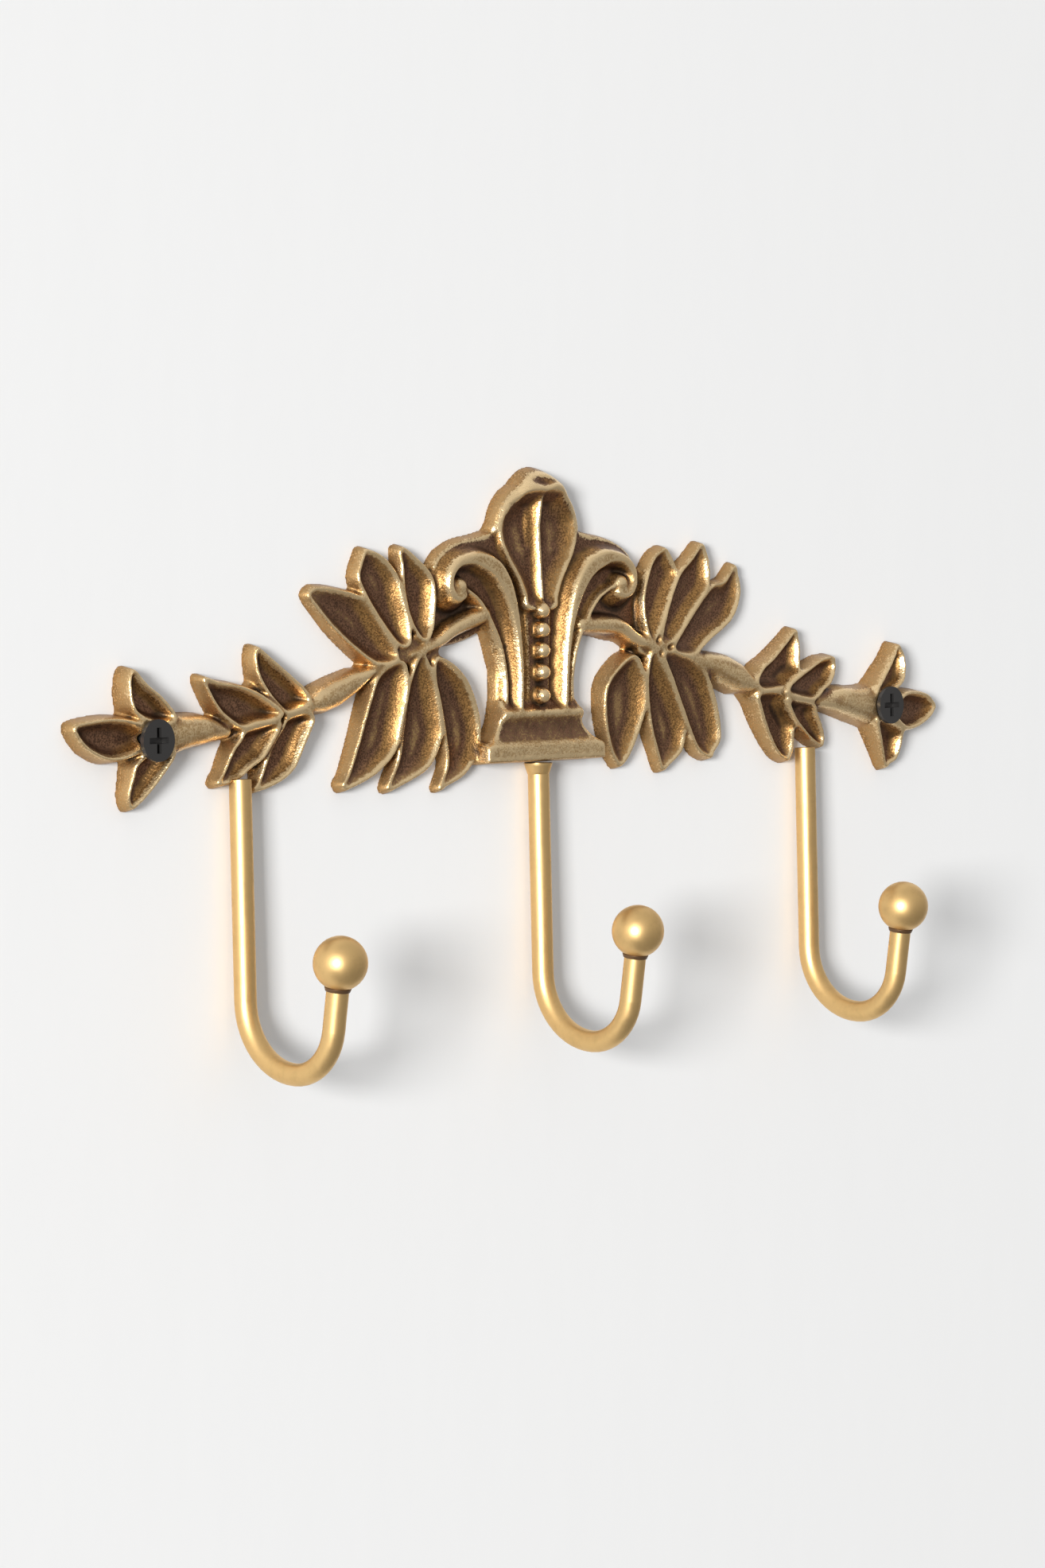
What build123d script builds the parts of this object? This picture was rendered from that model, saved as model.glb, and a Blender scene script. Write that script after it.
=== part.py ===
"""Wall hook rack: a cast brass crest of leaves with three brazed rod hooks and two screws.

Frame, millimetres: +X to the right seen from the front, +Z up, the wall is the plane Y = 0
and the front faces -Y. The origin is midway between the two screws, on the wall.
Heights are measured from the wall, so a point of height h lies at Y = -h.
"""
import os
from collections import namedtuple
from math import radians, tan

from build123d import *

# Hooks: round rod, bent round a wide and a tighter former, a ball on the end
HOOK_PITCH = 95.8
ROD_DIA = 5.0
ROD_TOP_Z = -9.6
ROD_STANDOFF = 3.4
ROD_LEAN = 1.2
ROD_DROP = 48.6
BEND_RADIUS = 15.5
ARM_BEND_RADIUS = 11.9
ARM_LEAN = 8.5
ARM_LENGTHS = {"left": 14.0, "centre": 15.1, "right": 15.2}
BALL_DIA = 12.0
SOCKET_DEPTH = 5.0
BRAZE_GAP = 0.05

# Screws, through the two trefoils
SCREW_PITCH = 248.0
SCREW_HEAD_DIA = 9.2
SCREW_HEAD_RIM = 1.0
SCREW_HEAD_TOP = 7.9
SCREW_NECK_DIA = 3.2
SCREW_THREAD_DIA = 4.2
SCREW_THREAD_LENGTH = 20.0
SCREW_POINT_LENGTH = 4.5
SCREW_CONE_ANGLE = 90.0
SCREW_HOLE_DIA = 4.8
SCREW_PAD_DIA = 11.5
SCREW_PAD_HEIGHT = 6.2
RECESS_SPAN = 5.6
RECESS_WING = 1.3
RECESS_DEPTH = 2.2

# Leaf carving
RIM_LAND = 0.9
TROUGH_DEPTH = 2.4
TROUGH_STEPS = ((-0.15, -0.1), (1.0, 0.8))
LEAF_FLARE = 0.5
PETAL_FLARE = 1.2
LIP_FLARE = 2.0

# Fleur: centre petal, side scrolls, bead column, plinth
BAND_WIDTH = 1.9
BAND_HEIGHT = 6.4
INNER_RIB_WIDTH = 1.0
INNER_RIB_HEIGHT = 5.9
OUTER_RIB_WIDTH = 1.0
OUTER_RIB_HEIGHT = 4.7
RIB_FLARE = 0.5
RIB_ROOT = 2.6
SCROLL_EYE_DIA = 4.4
SCROLL_EYE_HEIGHT = 6.3
BEAD_DIA = 4.4
BEAD_HEIGHT = 6.5
BEAD_LEVELS = (6.0, 11.4, 16.4, 21.2, 25.6)
BODY_HEIGHT = 3.6
FLANGE_HEIGHT = 3.0
WEB_HEIGHT = 1.8
BODY_DRAFT = 10.0
PLINTH_WIDTH = 41.0
PLINTH_TOP_WIDTH = 27.0
PLINTH_TOP_Z = 4.6
PLINTH_LEDGE_Z = 1.6
PLINTH_STRIP_Z = -4.8
PLINTH_FOOT_Z = -9.4
PLINTH_LEDGE_HEIGHT = 5.4
PLINTH_COVE_HEIGHT = 4.4
PLINTH_STRIP_HEIGHT = 6.8
COVE_SAG = 0.9
HUB_DIA = 4.4
HUB_HEIGHT = 5.7
HUB_FLARE = 3.0
ROOT_PAD_DIA = 5.5
ROOT_PAD_HEIGHT = 3.3
COLLAR_DIA = 6.7
COLLAR_FOOT_DIA = 5.8
COLLAR_LENGTH = 2.6
SEAT_WIDTH = 8.0
SEAT_DEPTH = 9.0
SEAT_HEIGHT = 3.8

# A leaf: root and tip (x, z), half-widths at its stations on the left and right of the line
# from root to tip, the height of its rim at root and tip, and the stations' shares of the length
LEAF_STATIONS = (0.3, 0.75)
Leaf = namedtuple("Leaf", "root tip left right rim_root rim_tip stations", defaults=(LEAF_STATIONS,))

SPRAY_LEAVES = (
    Leaf((-47.5, 16), (-73, 31), (4.5, 2.5), (5, 5), 5.4, 2.9),
    Leaf((-43.5, 19), (-56, 40), (5, 5.5), (3.5, 5), 5.4, 3.7),
    Leaf((-39, 19.5), (-44, 40.5), (3, 1.5), (7, 5.5), 5.4, 3.5),
    Leaf((-46, 15), (-63, -13), (5, 1.5), (7.5, 7), 5.4, 3.7),
    Leaf((-39.5, 16.5), (-48, -14), (9.5, 10.5), (2.5, 0), 5.4, 2.9),
    Leaf((-35, 15.5), (-31, -14.5), (11.5, 12.5), (0.5, -2), 5.4, 2.9),
    Leaf((46, 15.5), (71.5, 34.5), (2.5, 1.5), (6.5, 8), 5.4, 3.1),
    Leaf((41.5, 17), (59, 40), (3, 2.5), (4.5, 6.5), 5.4, 3.7),
    Leaf((38.5, 17.5), (45.5, 39.5), (5, 4.5), (2.5, 5), 5.4, 3.5),
    Leaf((42.5, 15), (61.5, -10.5), (8, 8.5), (1.5, 3.5), 5.4, 3.7),
    Leaf((39, 15.5), (45, -13), (5, 8.5), (4, 3), 5.4, 3.1),
    Leaf((32.5, 14.5), (29, -11.5), (5.5, 4), (8.5, 6), 5.4, 3.1),
)
CHEVRON_LEAVES = (
    Leaf((-82.5, 6), (-90.5, 19), (3, 2.5), (4.5, 1.5), 6.0, 3.8),
    Leaf((-87, 4.5), (-106.5, 12.5), (3, 1.5), (5, 4), 6.4, 4.0),
    Leaf((-81.5, 4), (-91.5, -12.5), (6, 4.5), (1, 0.5), 6.0, 3.6),
    Leaf((-87.5, 3), (-103, -11), (5, 3), (3.5, 2), 6.4, 3.6),
    Leaf((78.5, 6.5), (92, 18.5), (2, 0.8), (6, 7), 6.0, 3.8),
    Leaf((86, 4.5), (107.5, 12), (2, 1), (5, 5.5), 6.4, 4.0),
    Leaf((77, 4), (89.5, -12.5), (6.5, 6.5), (3.5, 2.5), 6.0, 3.6),
    Leaf((87, 3.5), (103, -9.5), (3.5, 4.5), (3.5, 2), 6.4, 3.6),
)
TREFOIL_LEAVES = (
    Leaf((-123, 1.5), (-128.5, 15), (4.5, 3), (5, 2), 6.6, 5.0),
    Leaf((-123, 0.5), (-144.5, 3), (3, 2), (4.5, 5), 6.6, 3.9),
    Leaf((-123, -1), (-127.5, -14.5), (5, 2.5), (3.5, 2.5), 6.6, 3.5),
    Leaf((124, 1.5), (131.5, 14.5), (3.5, 1.5), (4.5, 3.5), 6.6, 5.0),
    Leaf((126.5, -1.5), (147, -1), (4, 3.5), (5, 4), 6.6, 3.9),
    Leaf((125, -2.5), (128, -15.5), (6, 4.5), (4, 2), 6.6, 3.5),
)
PETAL_SIDE = (7.3, 12.6, 10.5, 6)
PETAL_STATIONS = (0.3, 0.64, 0.76, 0.87)
PETAL = Leaf((0, 22), (0.5, 57.5), PETAL_SIDE, PETAL_SIDE, 5.2, 4.4, PETAL_STATIONS)
PETAL_TROUGHS = (
    Leaf((-1.8, 25), (-2.5, 53), (5, 8.5), (1.3, 1.4), 5.2, 4.8),
    Leaf((1.8, 25), (3, 53), (1.3, 1.4), (5, 8.5), 5.2, 4.8),
)
PETAL_LIPS = (
    Leaf((-5, 52.5), (1.5, 54.5), (0.5, 0.6), (0.5, 0.6), 6.0, 8.8),
    Leaf((6, 52.5), (0.5, 54.5), (0.5, 0.6), (0.5, 0.6), 6.0, 8.8),
)

# A stem: (x, z) of its start, neck and end, with the half-width on the wall and the height of each
Stem = namedtuple("Stem", "places half_widths heights")

STEMS = (
    Stem(((-118, 0.5), (-107, 1.5), (-97, 1.5)), (5.5, 4, 5), (6.8, 6.4, 5.8)),
    Stem(((120, 0), (111, 1.5), (97, 2.5)), (5.5, 4.5, 5), (6.8, 6.4, 5.8)),
    Stem(((-79, 5.5), (-66, 8.5), (-53, 13.5)), (5, 3.5, 5), (6.2, 6.0, 5.6)),
    Stem(((78, 6.5), (68, 10), (52, 14)), (5.5, 4.5, 5), (6.2, 6.0, 5.6)),
    Stem(((-40, 17), (-29, 21.5), (-17, 25.5)), (3.5, 2.5, 3), (5.6, 5.4, 5.0)),
    Stem(((39, 16), (29, 21), (15, 22.5)), (3.5, 2.5, 3), (5.6, 5.4, 5.0)),
)
HUBS = ((-38.5, 17.5), (38.6, 16.2))
ROOT_PADS = (
    (-95, 3), (-85.5, 2.5), (-85.5, 5), (-47.5, 19), (-45, 17), (-43.5, 13.5), (-42.5, 20.5), (-34, 17.5),
    (34, 16.5), (36.5, 12), (43.5, 11.5), (45, 17), (52, 14), (78, 5.5), (90.5, 0), (95, 3),
)
FLANGE = Leaf((4, 30), (36, 35), (10.5, 7), (3, 4), FLANGE_HEIGHT, FLANGE_HEIGHT)

# Half of the fleur, as (x, z); the other half is its mirror image
BAND_POINTS = ((7.8, 3), (8.7, 20), (16.5, 36.3), (24, 38.6), (31.6, 33.5), (28.2, 28.8), (25, 31))
INNER_RIB_POINTS = ((3.9, 3), (4.2, 18), (5.6, 28))
OUTER_RIB_POINTS = ((11.2, 3), (11.6, 13), (15.7, 23), (25, 31))
SCROLL_EYE = (27.4, 31.6)
BODY_POINTS = ((12.4, 3), (12.8, 13), (16, 21), (22, 28), (24, 35), (9, 40))
WEB_POINTS = ((37, 20), (18, 22), (18, 36), (36, 36))

RIGHT_ANGLE = 90.0
MIRRORED = (1, -1)
TOP_END = (Align.CENTER, Align.CENTER, Align.MAX)
FOOT_END = (Align.CENTER, Align.CENTER, Align.MIN)


def at(point, height=0.0):
    """Place an (x, z) point at a height above the wall."""
    return Vector(point[0], -height, point[1])


def leaf_outline(leaf, grow, drop=None):
    """Closed outline of a leaf, grown all round and dropped from its rim; no drop: on the wall."""
    root, tip = Vector(*leaf.root), Vector(*leaf.tip)
    length = (tip - root).length
    along = (tip - root) / length
    left = Vector(-along.Y, along.X)
    width = sum(leaf.left + leaf.right) / len(leaf.left)
    middle = (sum(leaf.left) - sum(leaf.right)) / (2 * len(leaf.left))

    def spot(share, across):
        run = length / 2 + (share - 0.5) * (length + 2 * grow)
        side = middle + (across - middle) * (1 + 2 * grow / width)
        flat = root + along * run + left * side
        rim = leaf.rim_root + (leaf.rim_tip - leaf.rim_root) * run / length
        return at((flat.X, flat.Y), 0.0 if drop is None else rim - drop)

    start, end = spot(0, 0), spot(1, 0)
    left_side = [spot(share, half) for share, half in zip(leaf.stations, leaf.left)]
    right_side = [spot(share, -half) for share, half in zip(leaf.stations, leaf.right)]
    outward = Spline(start, *left_side, end)
    back = Spline(end, *reversed(right_side), start)
    return Wire([outward, back])


def leaf_block(leaf, flare):
    """Solid leaf with drafted walls, from the wall up to its rim plane."""
    rim = RIM_LAND / 2
    return Solid.make_loft([leaf_outline(leaf, rim + flare), leaf_outline(leaf, rim, 0.0)], True)


def leaf_trough(leaf):
    """Gouge that dishes a leaf and leaves a narrow land along its rim."""
    half_width = sum(leaf.left + leaf.right) / (2 * len(leaf.left))
    sections = [
        leaf_outline(leaf, -RIM_LAND / 2 - shrink * half_width, share * TROUGH_DEPTH)
        for share, shrink in TROUGH_STEPS
    ]
    return Solid.make_loft(sections, True)


def stem_bar(stem):
    """Half-round stem with a neck, lofted through three arches that stand on the wall."""
    along = at(stem.places[-1]) - at(stem.places[0])
    across = Vector(0, -1, 0).cross(along)
    arches = []
    for place, half_width, height in zip(*stem):
        arch = EllipticalCenterArc((0, 0), half_width, height, arc_size=2 * RIGHT_ANGLE)
        stand = Plane(origin=at(place), x_dir=across, z_dir=along)
        arches.append(stand * Wire([arch, Line(arch @ 1, arch @ 0)]))
    return Solid.make_loft(arches, True)


def plate(points, height):
    """Flat plate with drafted walls, from the wall up."""
    outline = Polyline(*[(x, z) for x, z in points], close=True)
    return extrude(Plane.XZ * make_face(outline), height, taper=BODY_DRAFT)


def mirrored(points, sign):
    """The same points on the right (+1) or left (-1) half."""
    return [(sign * x, z) for x, z in points]


def rib(points, height, width):
    """Raised rib with sloping sides along a chain of tangent arcs through the points."""
    tangent = Vector(0, 0, 1)
    arcs = []
    for first, last in zip(points, points[1:]):
        arcs.append(TangentArc(at(first, RIB_ROOT), at(last, RIB_ROOT), tangent=tangent))
        tangent = arcs[-1] % 1
    path = Wire(arcs)
    top, foot, rise = width / 2, width / 2 + RIB_FLARE, height - RIB_ROOT
    outline = Polyline((-foot, 0), (foot, 0), (top, rise), (-top, rise), close=True)
    section = Plane(origin=path @ 0, x_dir=(-1, 0, 0), z_dir=path % 0) * make_face(outline)
    return sweep(section, path=path)


def plinth():
    """Moulded foot of the fleur: ledge, cove and grained front strip, narrower at the top."""
    cove_mid = (
        (PLINTH_COVE_HEIGHT + PLINTH_STRIP_HEIGHT) / 2 - COVE_SAG,
        (PLINTH_LEDGE_Z + PLINTH_STRIP_Z) / 2,
    )
    edges = [
        Polyline(
            (0, PLINTH_FOOT_Z),
            (PLINTH_STRIP_HEIGHT, PLINTH_FOOT_Z),
            (PLINTH_STRIP_HEIGHT, PLINTH_STRIP_Z),
        ),
        ThreePointArc(
            (PLINTH_STRIP_HEIGHT, PLINTH_STRIP_Z), cove_mid, (PLINTH_COVE_HEIGHT, PLINTH_LEDGE_Z)
        ),
        Polyline(
            (PLINTH_COVE_HEIGHT, PLINTH_LEDGE_Z),
            (PLINTH_LEDGE_HEIGHT, PLINTH_LEDGE_Z),
            (PLINTH_LEDGE_HEIGHT, PLINTH_TOP_Z),
            (0, PLINTH_TOP_Z),
            (0, PLINTH_FOOT_Z),
        ),
    ]
    side = Plane(origin=(PLINTH_WIDTH / 2, 0, 0), x_dir=(0, -1, 0), z_dir=(-1, 0, 0))
    bar = extrude(side * make_face(edges), PLINTH_WIDTH)
    front = Polyline(
        (-PLINTH_WIDTH / 2, PLINTH_FOOT_Z),
        (PLINTH_WIDTH / 2, PLINTH_FOOT_Z),
        (PLINTH_WIDTH / 2, PLINTH_STRIP_Z),
        (PLINTH_TOP_WIDTH / 2, PLINTH_LEDGE_Z),
        (PLINTH_TOP_WIDTH / 2, PLINTH_TOP_Z),
        (-PLINTH_TOP_WIDTH / 2, PLINTH_TOP_Z),
        (-PLINTH_TOP_WIDTH / 2, PLINTH_LEDGE_Z),
        (-PLINTH_WIDTH / 2, PLINTH_STRIP_Z),
        close=True,
    )
    return bar & extrude(Plane.XZ * make_face(front), PLINTH_STRIP_HEIGHT)


def drafted_disc(point, diameter, height, flare):
    """Round pad that widens towards the wall."""
    top, foot = diameter / 2, diameter / 2 + flare
    cone = Cone(foot, top, height, align=FOOT_END)
    return Plane(origin=at(point), z_dir=(0, -1, 0)) * cone


def bead(point, height, diameter):
    """Round-topped bead standing on the wall plane."""
    drum = Cylinder(diameter / 2, height - diameter / 2, align=FOOT_END)
    dome = Sphere(diameter / 2, arc_size1=0, align=FOOT_END)
    front = Plane(origin=at(point), z_dir=(0, -1, 0))
    return front * (drum + Pos(0, 0, height - diameter / 2) * dome)


def hook_places():
    """X of the left, centre and right hook."""
    return {"left": -HOOK_PITCH, "centre": 0.0, "right": HOOK_PITCH}


def screw_places():
    """(x, z) of the two screws."""
    return (-SCREW_PITCH / 2, 0.0), (SCREW_PITCH / 2, 0.0)


def hook_path(name):
    """Centre line of a hook: leaning shank, wide bend, tighter rise and the arm with the ball."""
    top = Vector(hook_places()[name], -ROD_STANDOFF, ROD_TOP_Z)
    down = Vector(0, 0, -1).rotate(Axis.X, -ROD_LEAN)
    side = Plane(origin=top, x_dir=down, z_dir=(-1, 0, 0))
    shank = Line((0, 0), (ROD_DROP, 0))
    bend = JernArc(shank @ 1, shank % 1, BEND_RADIUS, RIGHT_ANGLE - ROD_LEAN)
    rise = JernArc(bend @ 1, bend % 1, ARM_BEND_RADIUS, RIGHT_ANGLE - ARM_LEAN)
    arm = Line(rise @ 1, rise @ 1 + (rise % 1) * ARM_LENGTHS[name])
    return side * Wire([shank, bend, rise, arm])


def hook_rod(name):
    """Bent round rod; its upper end butts on the crest, its lower end sits in the ball."""
    path = hook_path(name)
    section = Plane(origin=path @ 0, z_dir=path % 0) * Circle(ROD_DIA / 2)
    return sweep(section, path=path)


def hook_ball(name):
    """Ball with a blind socket for the rod."""
    path = hook_path(name)
    seat = Plane(origin=path @ 1, z_dir=path % 1) * Pos(0, 0, BRAZE_GAP)
    ball = seat * Pos(0, 0, BALL_DIA / 2 - SOCKET_DEPTH) * Sphere(BALL_DIA / 2)
    drill = Cylinder(ROD_DIA / 2 + BRAZE_GAP, BALL_DIA, align=TOP_END)
    return ball - seat * drill


def wall_screw(point):
    """Countersunk cross-recess wood screw, head at the front, point in the wall."""
    head, neck, thread = SCREW_HEAD_DIA / 2, SCREW_NECK_DIA / 2, SCREW_THREAD_DIA / 2
    cone_foot = SCREW_HEAD_TOP - SCREW_HEAD_RIM - (head - neck) / tan(radians(SCREW_CONE_ANGLE / 2))
    outline = Polyline(
        (0, SCREW_HEAD_TOP),
        (head, SCREW_HEAD_TOP),
        (head, SCREW_HEAD_TOP - SCREW_HEAD_RIM),
        (neck, cone_foot),
        (neck, 0),
        (thread, 0),
        (thread, -SCREW_THREAD_LENGTH),
        (0, -SCREW_THREAD_LENGTH - SCREW_POINT_LENGTH),
        close=True,
    )
    axis = Plane(origin=at(point), x_dir=(1, 0, 0), z_dir=(0, -1, 0))
    body = revolve(Plane.XZ * make_face(outline), Axis.Z)
    wing = Box(RECESS_SPAN, RECESS_WING, RECESS_DEPTH, align=TOP_END)
    recess = Pos(0, 0, SCREW_HEAD_TOP) * (wing + Rot(0, 0, RIGHT_ANGLE) * wing)
    return axis * (body - recess)


def flange(sign):
    """Low shelf behind one scroll; the left one is the right one mirrored."""
    if sign > 0:
        return FLANGE
    (rx, rz), (tx, tz) = FLANGE.root, FLANGE.tip
    return FLANGE._replace(root=(-rx, rz), tip=(-tx, tz), left=FLANGE.right, right=FLANGE.left)


def crest_casting():
    """The one casting: drafted leaves, gouged; the fleur on its plinth; stems, holes, seats."""
    leaves = SPRAY_LEAVES + CHEVRON_LEAVES + TREFOIL_LEAVES
    blocks = [leaf_block(leaf, LEAF_FLARE) for leaf in leaves] + [leaf_block(PETAL, PETAL_FLARE)]
    troughs = [leaf_trough(leaf) for leaf in leaves + PETAL_TROUGHS]
    carved = blocks[0].fuse(*blocks[1:]).cut(*troughs)

    raised = [stem_bar(stem) for stem in STEMS]
    raised += [leaf_block(lip, LIP_FLARE) for lip in PETAL_LIPS]
    raised += [drafted_disc(hub, HUB_DIA, HUB_HEIGHT, HUB_FLARE) for hub in HUBS]
    raised += [drafted_disc(pad, ROOT_PAD_DIA, ROOT_PAD_HEIGHT, LEAF_FLARE) for pad in ROOT_PADS]
    raised += [drafted_disc(p, SCREW_PAD_DIA, SCREW_PAD_HEIGHT, LEAF_FLARE) for p in screw_places()]
    body = mirrored(BODY_POINTS, 1) + mirrored(reversed(BODY_POINTS), -1)
    raised += [plinth(), plate(body, BODY_HEIGHT)]
    raised += [bead((0, z), BEAD_HEIGHT, BEAD_DIA) for z in BEAD_LEVELS]
    for sign in MIRRORED:
        raised += [plate(mirrored(WEB_POINTS, sign), WEB_HEIGHT)]
        raised += [leaf_block(flange(sign), LEAF_FLARE)]
        raised += [rib(mirrored(BAND_POINTS, sign), BAND_HEIGHT, BAND_WIDTH)]
        raised += [rib(mirrored(INNER_RIB_POINTS, sign), INNER_RIB_HEIGHT, INNER_RIB_WIDTH)]
        raised += [rib(mirrored(OUTER_RIB_POINTS, sign), OUTER_RIB_HEIGHT, OUTER_RIB_WIDTH)]
        raised += [bead((sign * SCROLL_EYE[0], SCROLL_EYE[1]), SCROLL_EYE_HEIGHT, SCROLL_EYE_DIA)]
    for x in (-HOOK_PITCH, HOOK_PITCH):
        seat = Box(SEAT_WIDTH, SEAT_HEIGHT, SEAT_DEPTH, align=(Align.CENTER, Align.MAX, Align.MIN))
        raised += [Pos(x, 0, ROD_TOP_Z) * seat]
    collar = Cone(COLLAR_FOOT_DIA / 2, COLLAR_DIA / 2, COLLAR_LENGTH, align=TOP_END)
    raised += [Pos(0, -ROD_STANDOFF, PLINTH_FOOT_Z) * collar]
    whole = carved.fuse(*[piece.solid() for piece in raised])

    holes = []
    for point in screw_places():
        axis = Plane(origin=at(point), x_dir=(1, 0, 0), z_dir=(0, -1, 0))
        rise = SCREW_HEAD_TOP - SCREW_HEAD_RIM
        mouth = SCREW_HEAD_DIA / 2 + BRAZE_GAP
        depth = mouth / tan(radians(SCREW_CONE_ANGLE / 2))
        sink = Cone(0, mouth, depth, align=TOP_END)
        bore = Cylinder(SCREW_HOLE_DIA / 2, rise, align=FOOT_END)
        above = Cylinder(mouth, rise, align=FOOT_END)
        holes += [axis * bore, axis * Pos(0, 0, rise) * sink, axis * Pos(0, 0, rise) * above]
    for name in hook_places():
        path = hook_path(name)
        end = Plane(origin=path @ 0, z_dir=path % 0) * Pos(0, 0, -BRAZE_GAP)
        holes += [end * Cylinder(ROD_DIA / 2 + BRAZE_GAP, ROD_DROP / 2, align=FOOT_END)]
    return whole.cut(*[hole.solid() for hole in holes])


nodes = {
    "crest_casting": crest_casting(),
    "hook_rods": Compound([hook_rod(name).solid() for name in hook_places()]),
    "hook_balls": Compound([hook_ball(name).solid() for name in hook_places()]),
    "wall_screws": Compound([wall_screw(point).solid() for point in screw_places()]),
}

os.makedirs("parts", exist_ok=True)
for name, shape in nodes.items():
    export_step(shape, os.path.join("parts", name + ".step"))
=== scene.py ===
"""Wall hook rack: cast antique-brass crest, satin rod hooks with balls, black screws, on a pale wall."""

import math
from collections import namedtuple

import bpy
import numpy as np
from mathutils import Matrix, Vector


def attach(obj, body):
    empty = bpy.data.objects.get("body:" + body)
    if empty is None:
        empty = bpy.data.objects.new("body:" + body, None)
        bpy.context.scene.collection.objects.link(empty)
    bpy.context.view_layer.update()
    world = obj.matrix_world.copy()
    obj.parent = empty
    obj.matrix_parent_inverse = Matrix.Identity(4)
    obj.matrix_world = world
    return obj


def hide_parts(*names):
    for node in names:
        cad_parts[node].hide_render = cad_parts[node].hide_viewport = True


bl_info = {
    "name": "Wall hook rack",
    "version": (1, 0, 0),
    "blender": (4, 5, 0),
    "location": "View3D > Sidebar > Hook rack",
    "description": "Builds a cast brass hook rack around its CAD frame",
    "category": "Object",
}

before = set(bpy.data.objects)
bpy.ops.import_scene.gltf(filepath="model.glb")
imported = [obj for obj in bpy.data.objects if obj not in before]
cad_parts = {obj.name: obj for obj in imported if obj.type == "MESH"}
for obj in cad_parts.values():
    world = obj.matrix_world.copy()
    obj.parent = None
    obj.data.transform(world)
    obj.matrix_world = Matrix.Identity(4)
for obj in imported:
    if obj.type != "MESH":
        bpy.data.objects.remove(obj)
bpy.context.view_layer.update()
BODY = "root"
MM = 0.001

# A leaf of the crest in millimetres: root and tip (x, z) of its rim, the rim's points along both
# sides from root to tip, and the rim's height above the wall at root and tip
Leaf = namedtuple("Leaf", "root tip one other rim_root rim_tip")
SPRAY_LEAVES = (
    Leaf((-47.5, 16), (-73, 31), ((-52, 23.5), (-57.5, 29.5), (-65, 31.5), (-70.5, 32)),
         ((-53.5, 14.5), (-60, 18), (-66.5, 23), (-71, 27.5)), 5.4, 2.7),
    Leaf((-43.5, 19), (-56, 40), ((-47, 18.5), (-51.5, 23), (-56, 29), (-58.5, 34)),
         ((-43.5, 24), (-45, 29.5), (-46.5, 34.5), (-50.5, 38.5)), 5.4, 3.5),
    Leaf((-39, 19.5), (-44, 40.5), ((-41.5, 21.5), (-43.5, 25.5), (-44.5, 31), (-44.5, 36)),
         ((-36, 22), (-34.5, 30), (-35.5, 34.5), (-39.5, 38)), 5.4, 3.5),
    Leaf((-46, 15), (-63, -13), ((-53, 12.5), (-56, 6.5), (-59, -2), (-62, -9.5)),
         ((-44, 9.5), (-45.5, 2), (-47.5, -5), (-53.5, -10)), 5.4, 3.5),
    Leaf((-39.5, 16.5), (-48, -14), ((-42, 14), (-44, 8), (-45, 0), (-46, -7)),
         ((-35.5, 11), (-33, 3), (-32.5, -3), (-36.5, -9.5)), 5.4, 2.9),
    Leaf((-35, 15.5), (-31, -14.5), ((-35.5, 11), (-33, 4), (-31, -3), (-30, -9)),
         ((-29.5, 14), (-24, 9.5), (-20, 2), (-19.5, -5), (-23.5, -11)), 5.4, 2.9),
    Leaf((46, 15.5), (71.5, 34.5), ((50.5, 21), (61, 30), (66.5, 31.5)),
         ((53, 14), (61, 18), (69, 22.5), (72.5, 28.5)), 5.4, 3.1),
    Leaf((41.5, 17), (59, 40), ((44, 24.5), (49, 33), (54, 37)),
         ((47, 18), (54, 24.5), (60, 30.5), (60.5, 36)), 5.4, 3.7),
    Leaf((38.5, 17.5), (45.5, 39.5), ((36.5, 21), (36, 27), (38, 33), (41, 37.5)),
         ((41.5, 20.5), (46.5, 28.5), (49, 33.5), (47.5, 37)), 5.4, 3.5),
    Leaf((42.5, 15), (61.5, -10.5), ((46, 8), (50, 1), (53.5, -5), (56.5, -9)),
         ((52.5, 13.5), (59, 9), (63, 1.5), (64.5, -6)), 5.4, 3.7),
    Leaf((39, 15.5), (45, -13), ((37, 11), (37.5, 4), (39.5, -3.5), (42, -9)),
         ((44, 10.5), (49, 3), (51.5, -2.5), (51, -8.5)), 5.4, 3.1),
    Leaf((32.5, 14.5), (29, -11.5), ((27.5, 12.5), (23, 7.5), (23, 0), (25.5, -7.5)),
         ((36, 10), (37, 3), (35.5, -2.5), (32.5, -8.5)), 5.4, 3.1),
)
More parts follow.
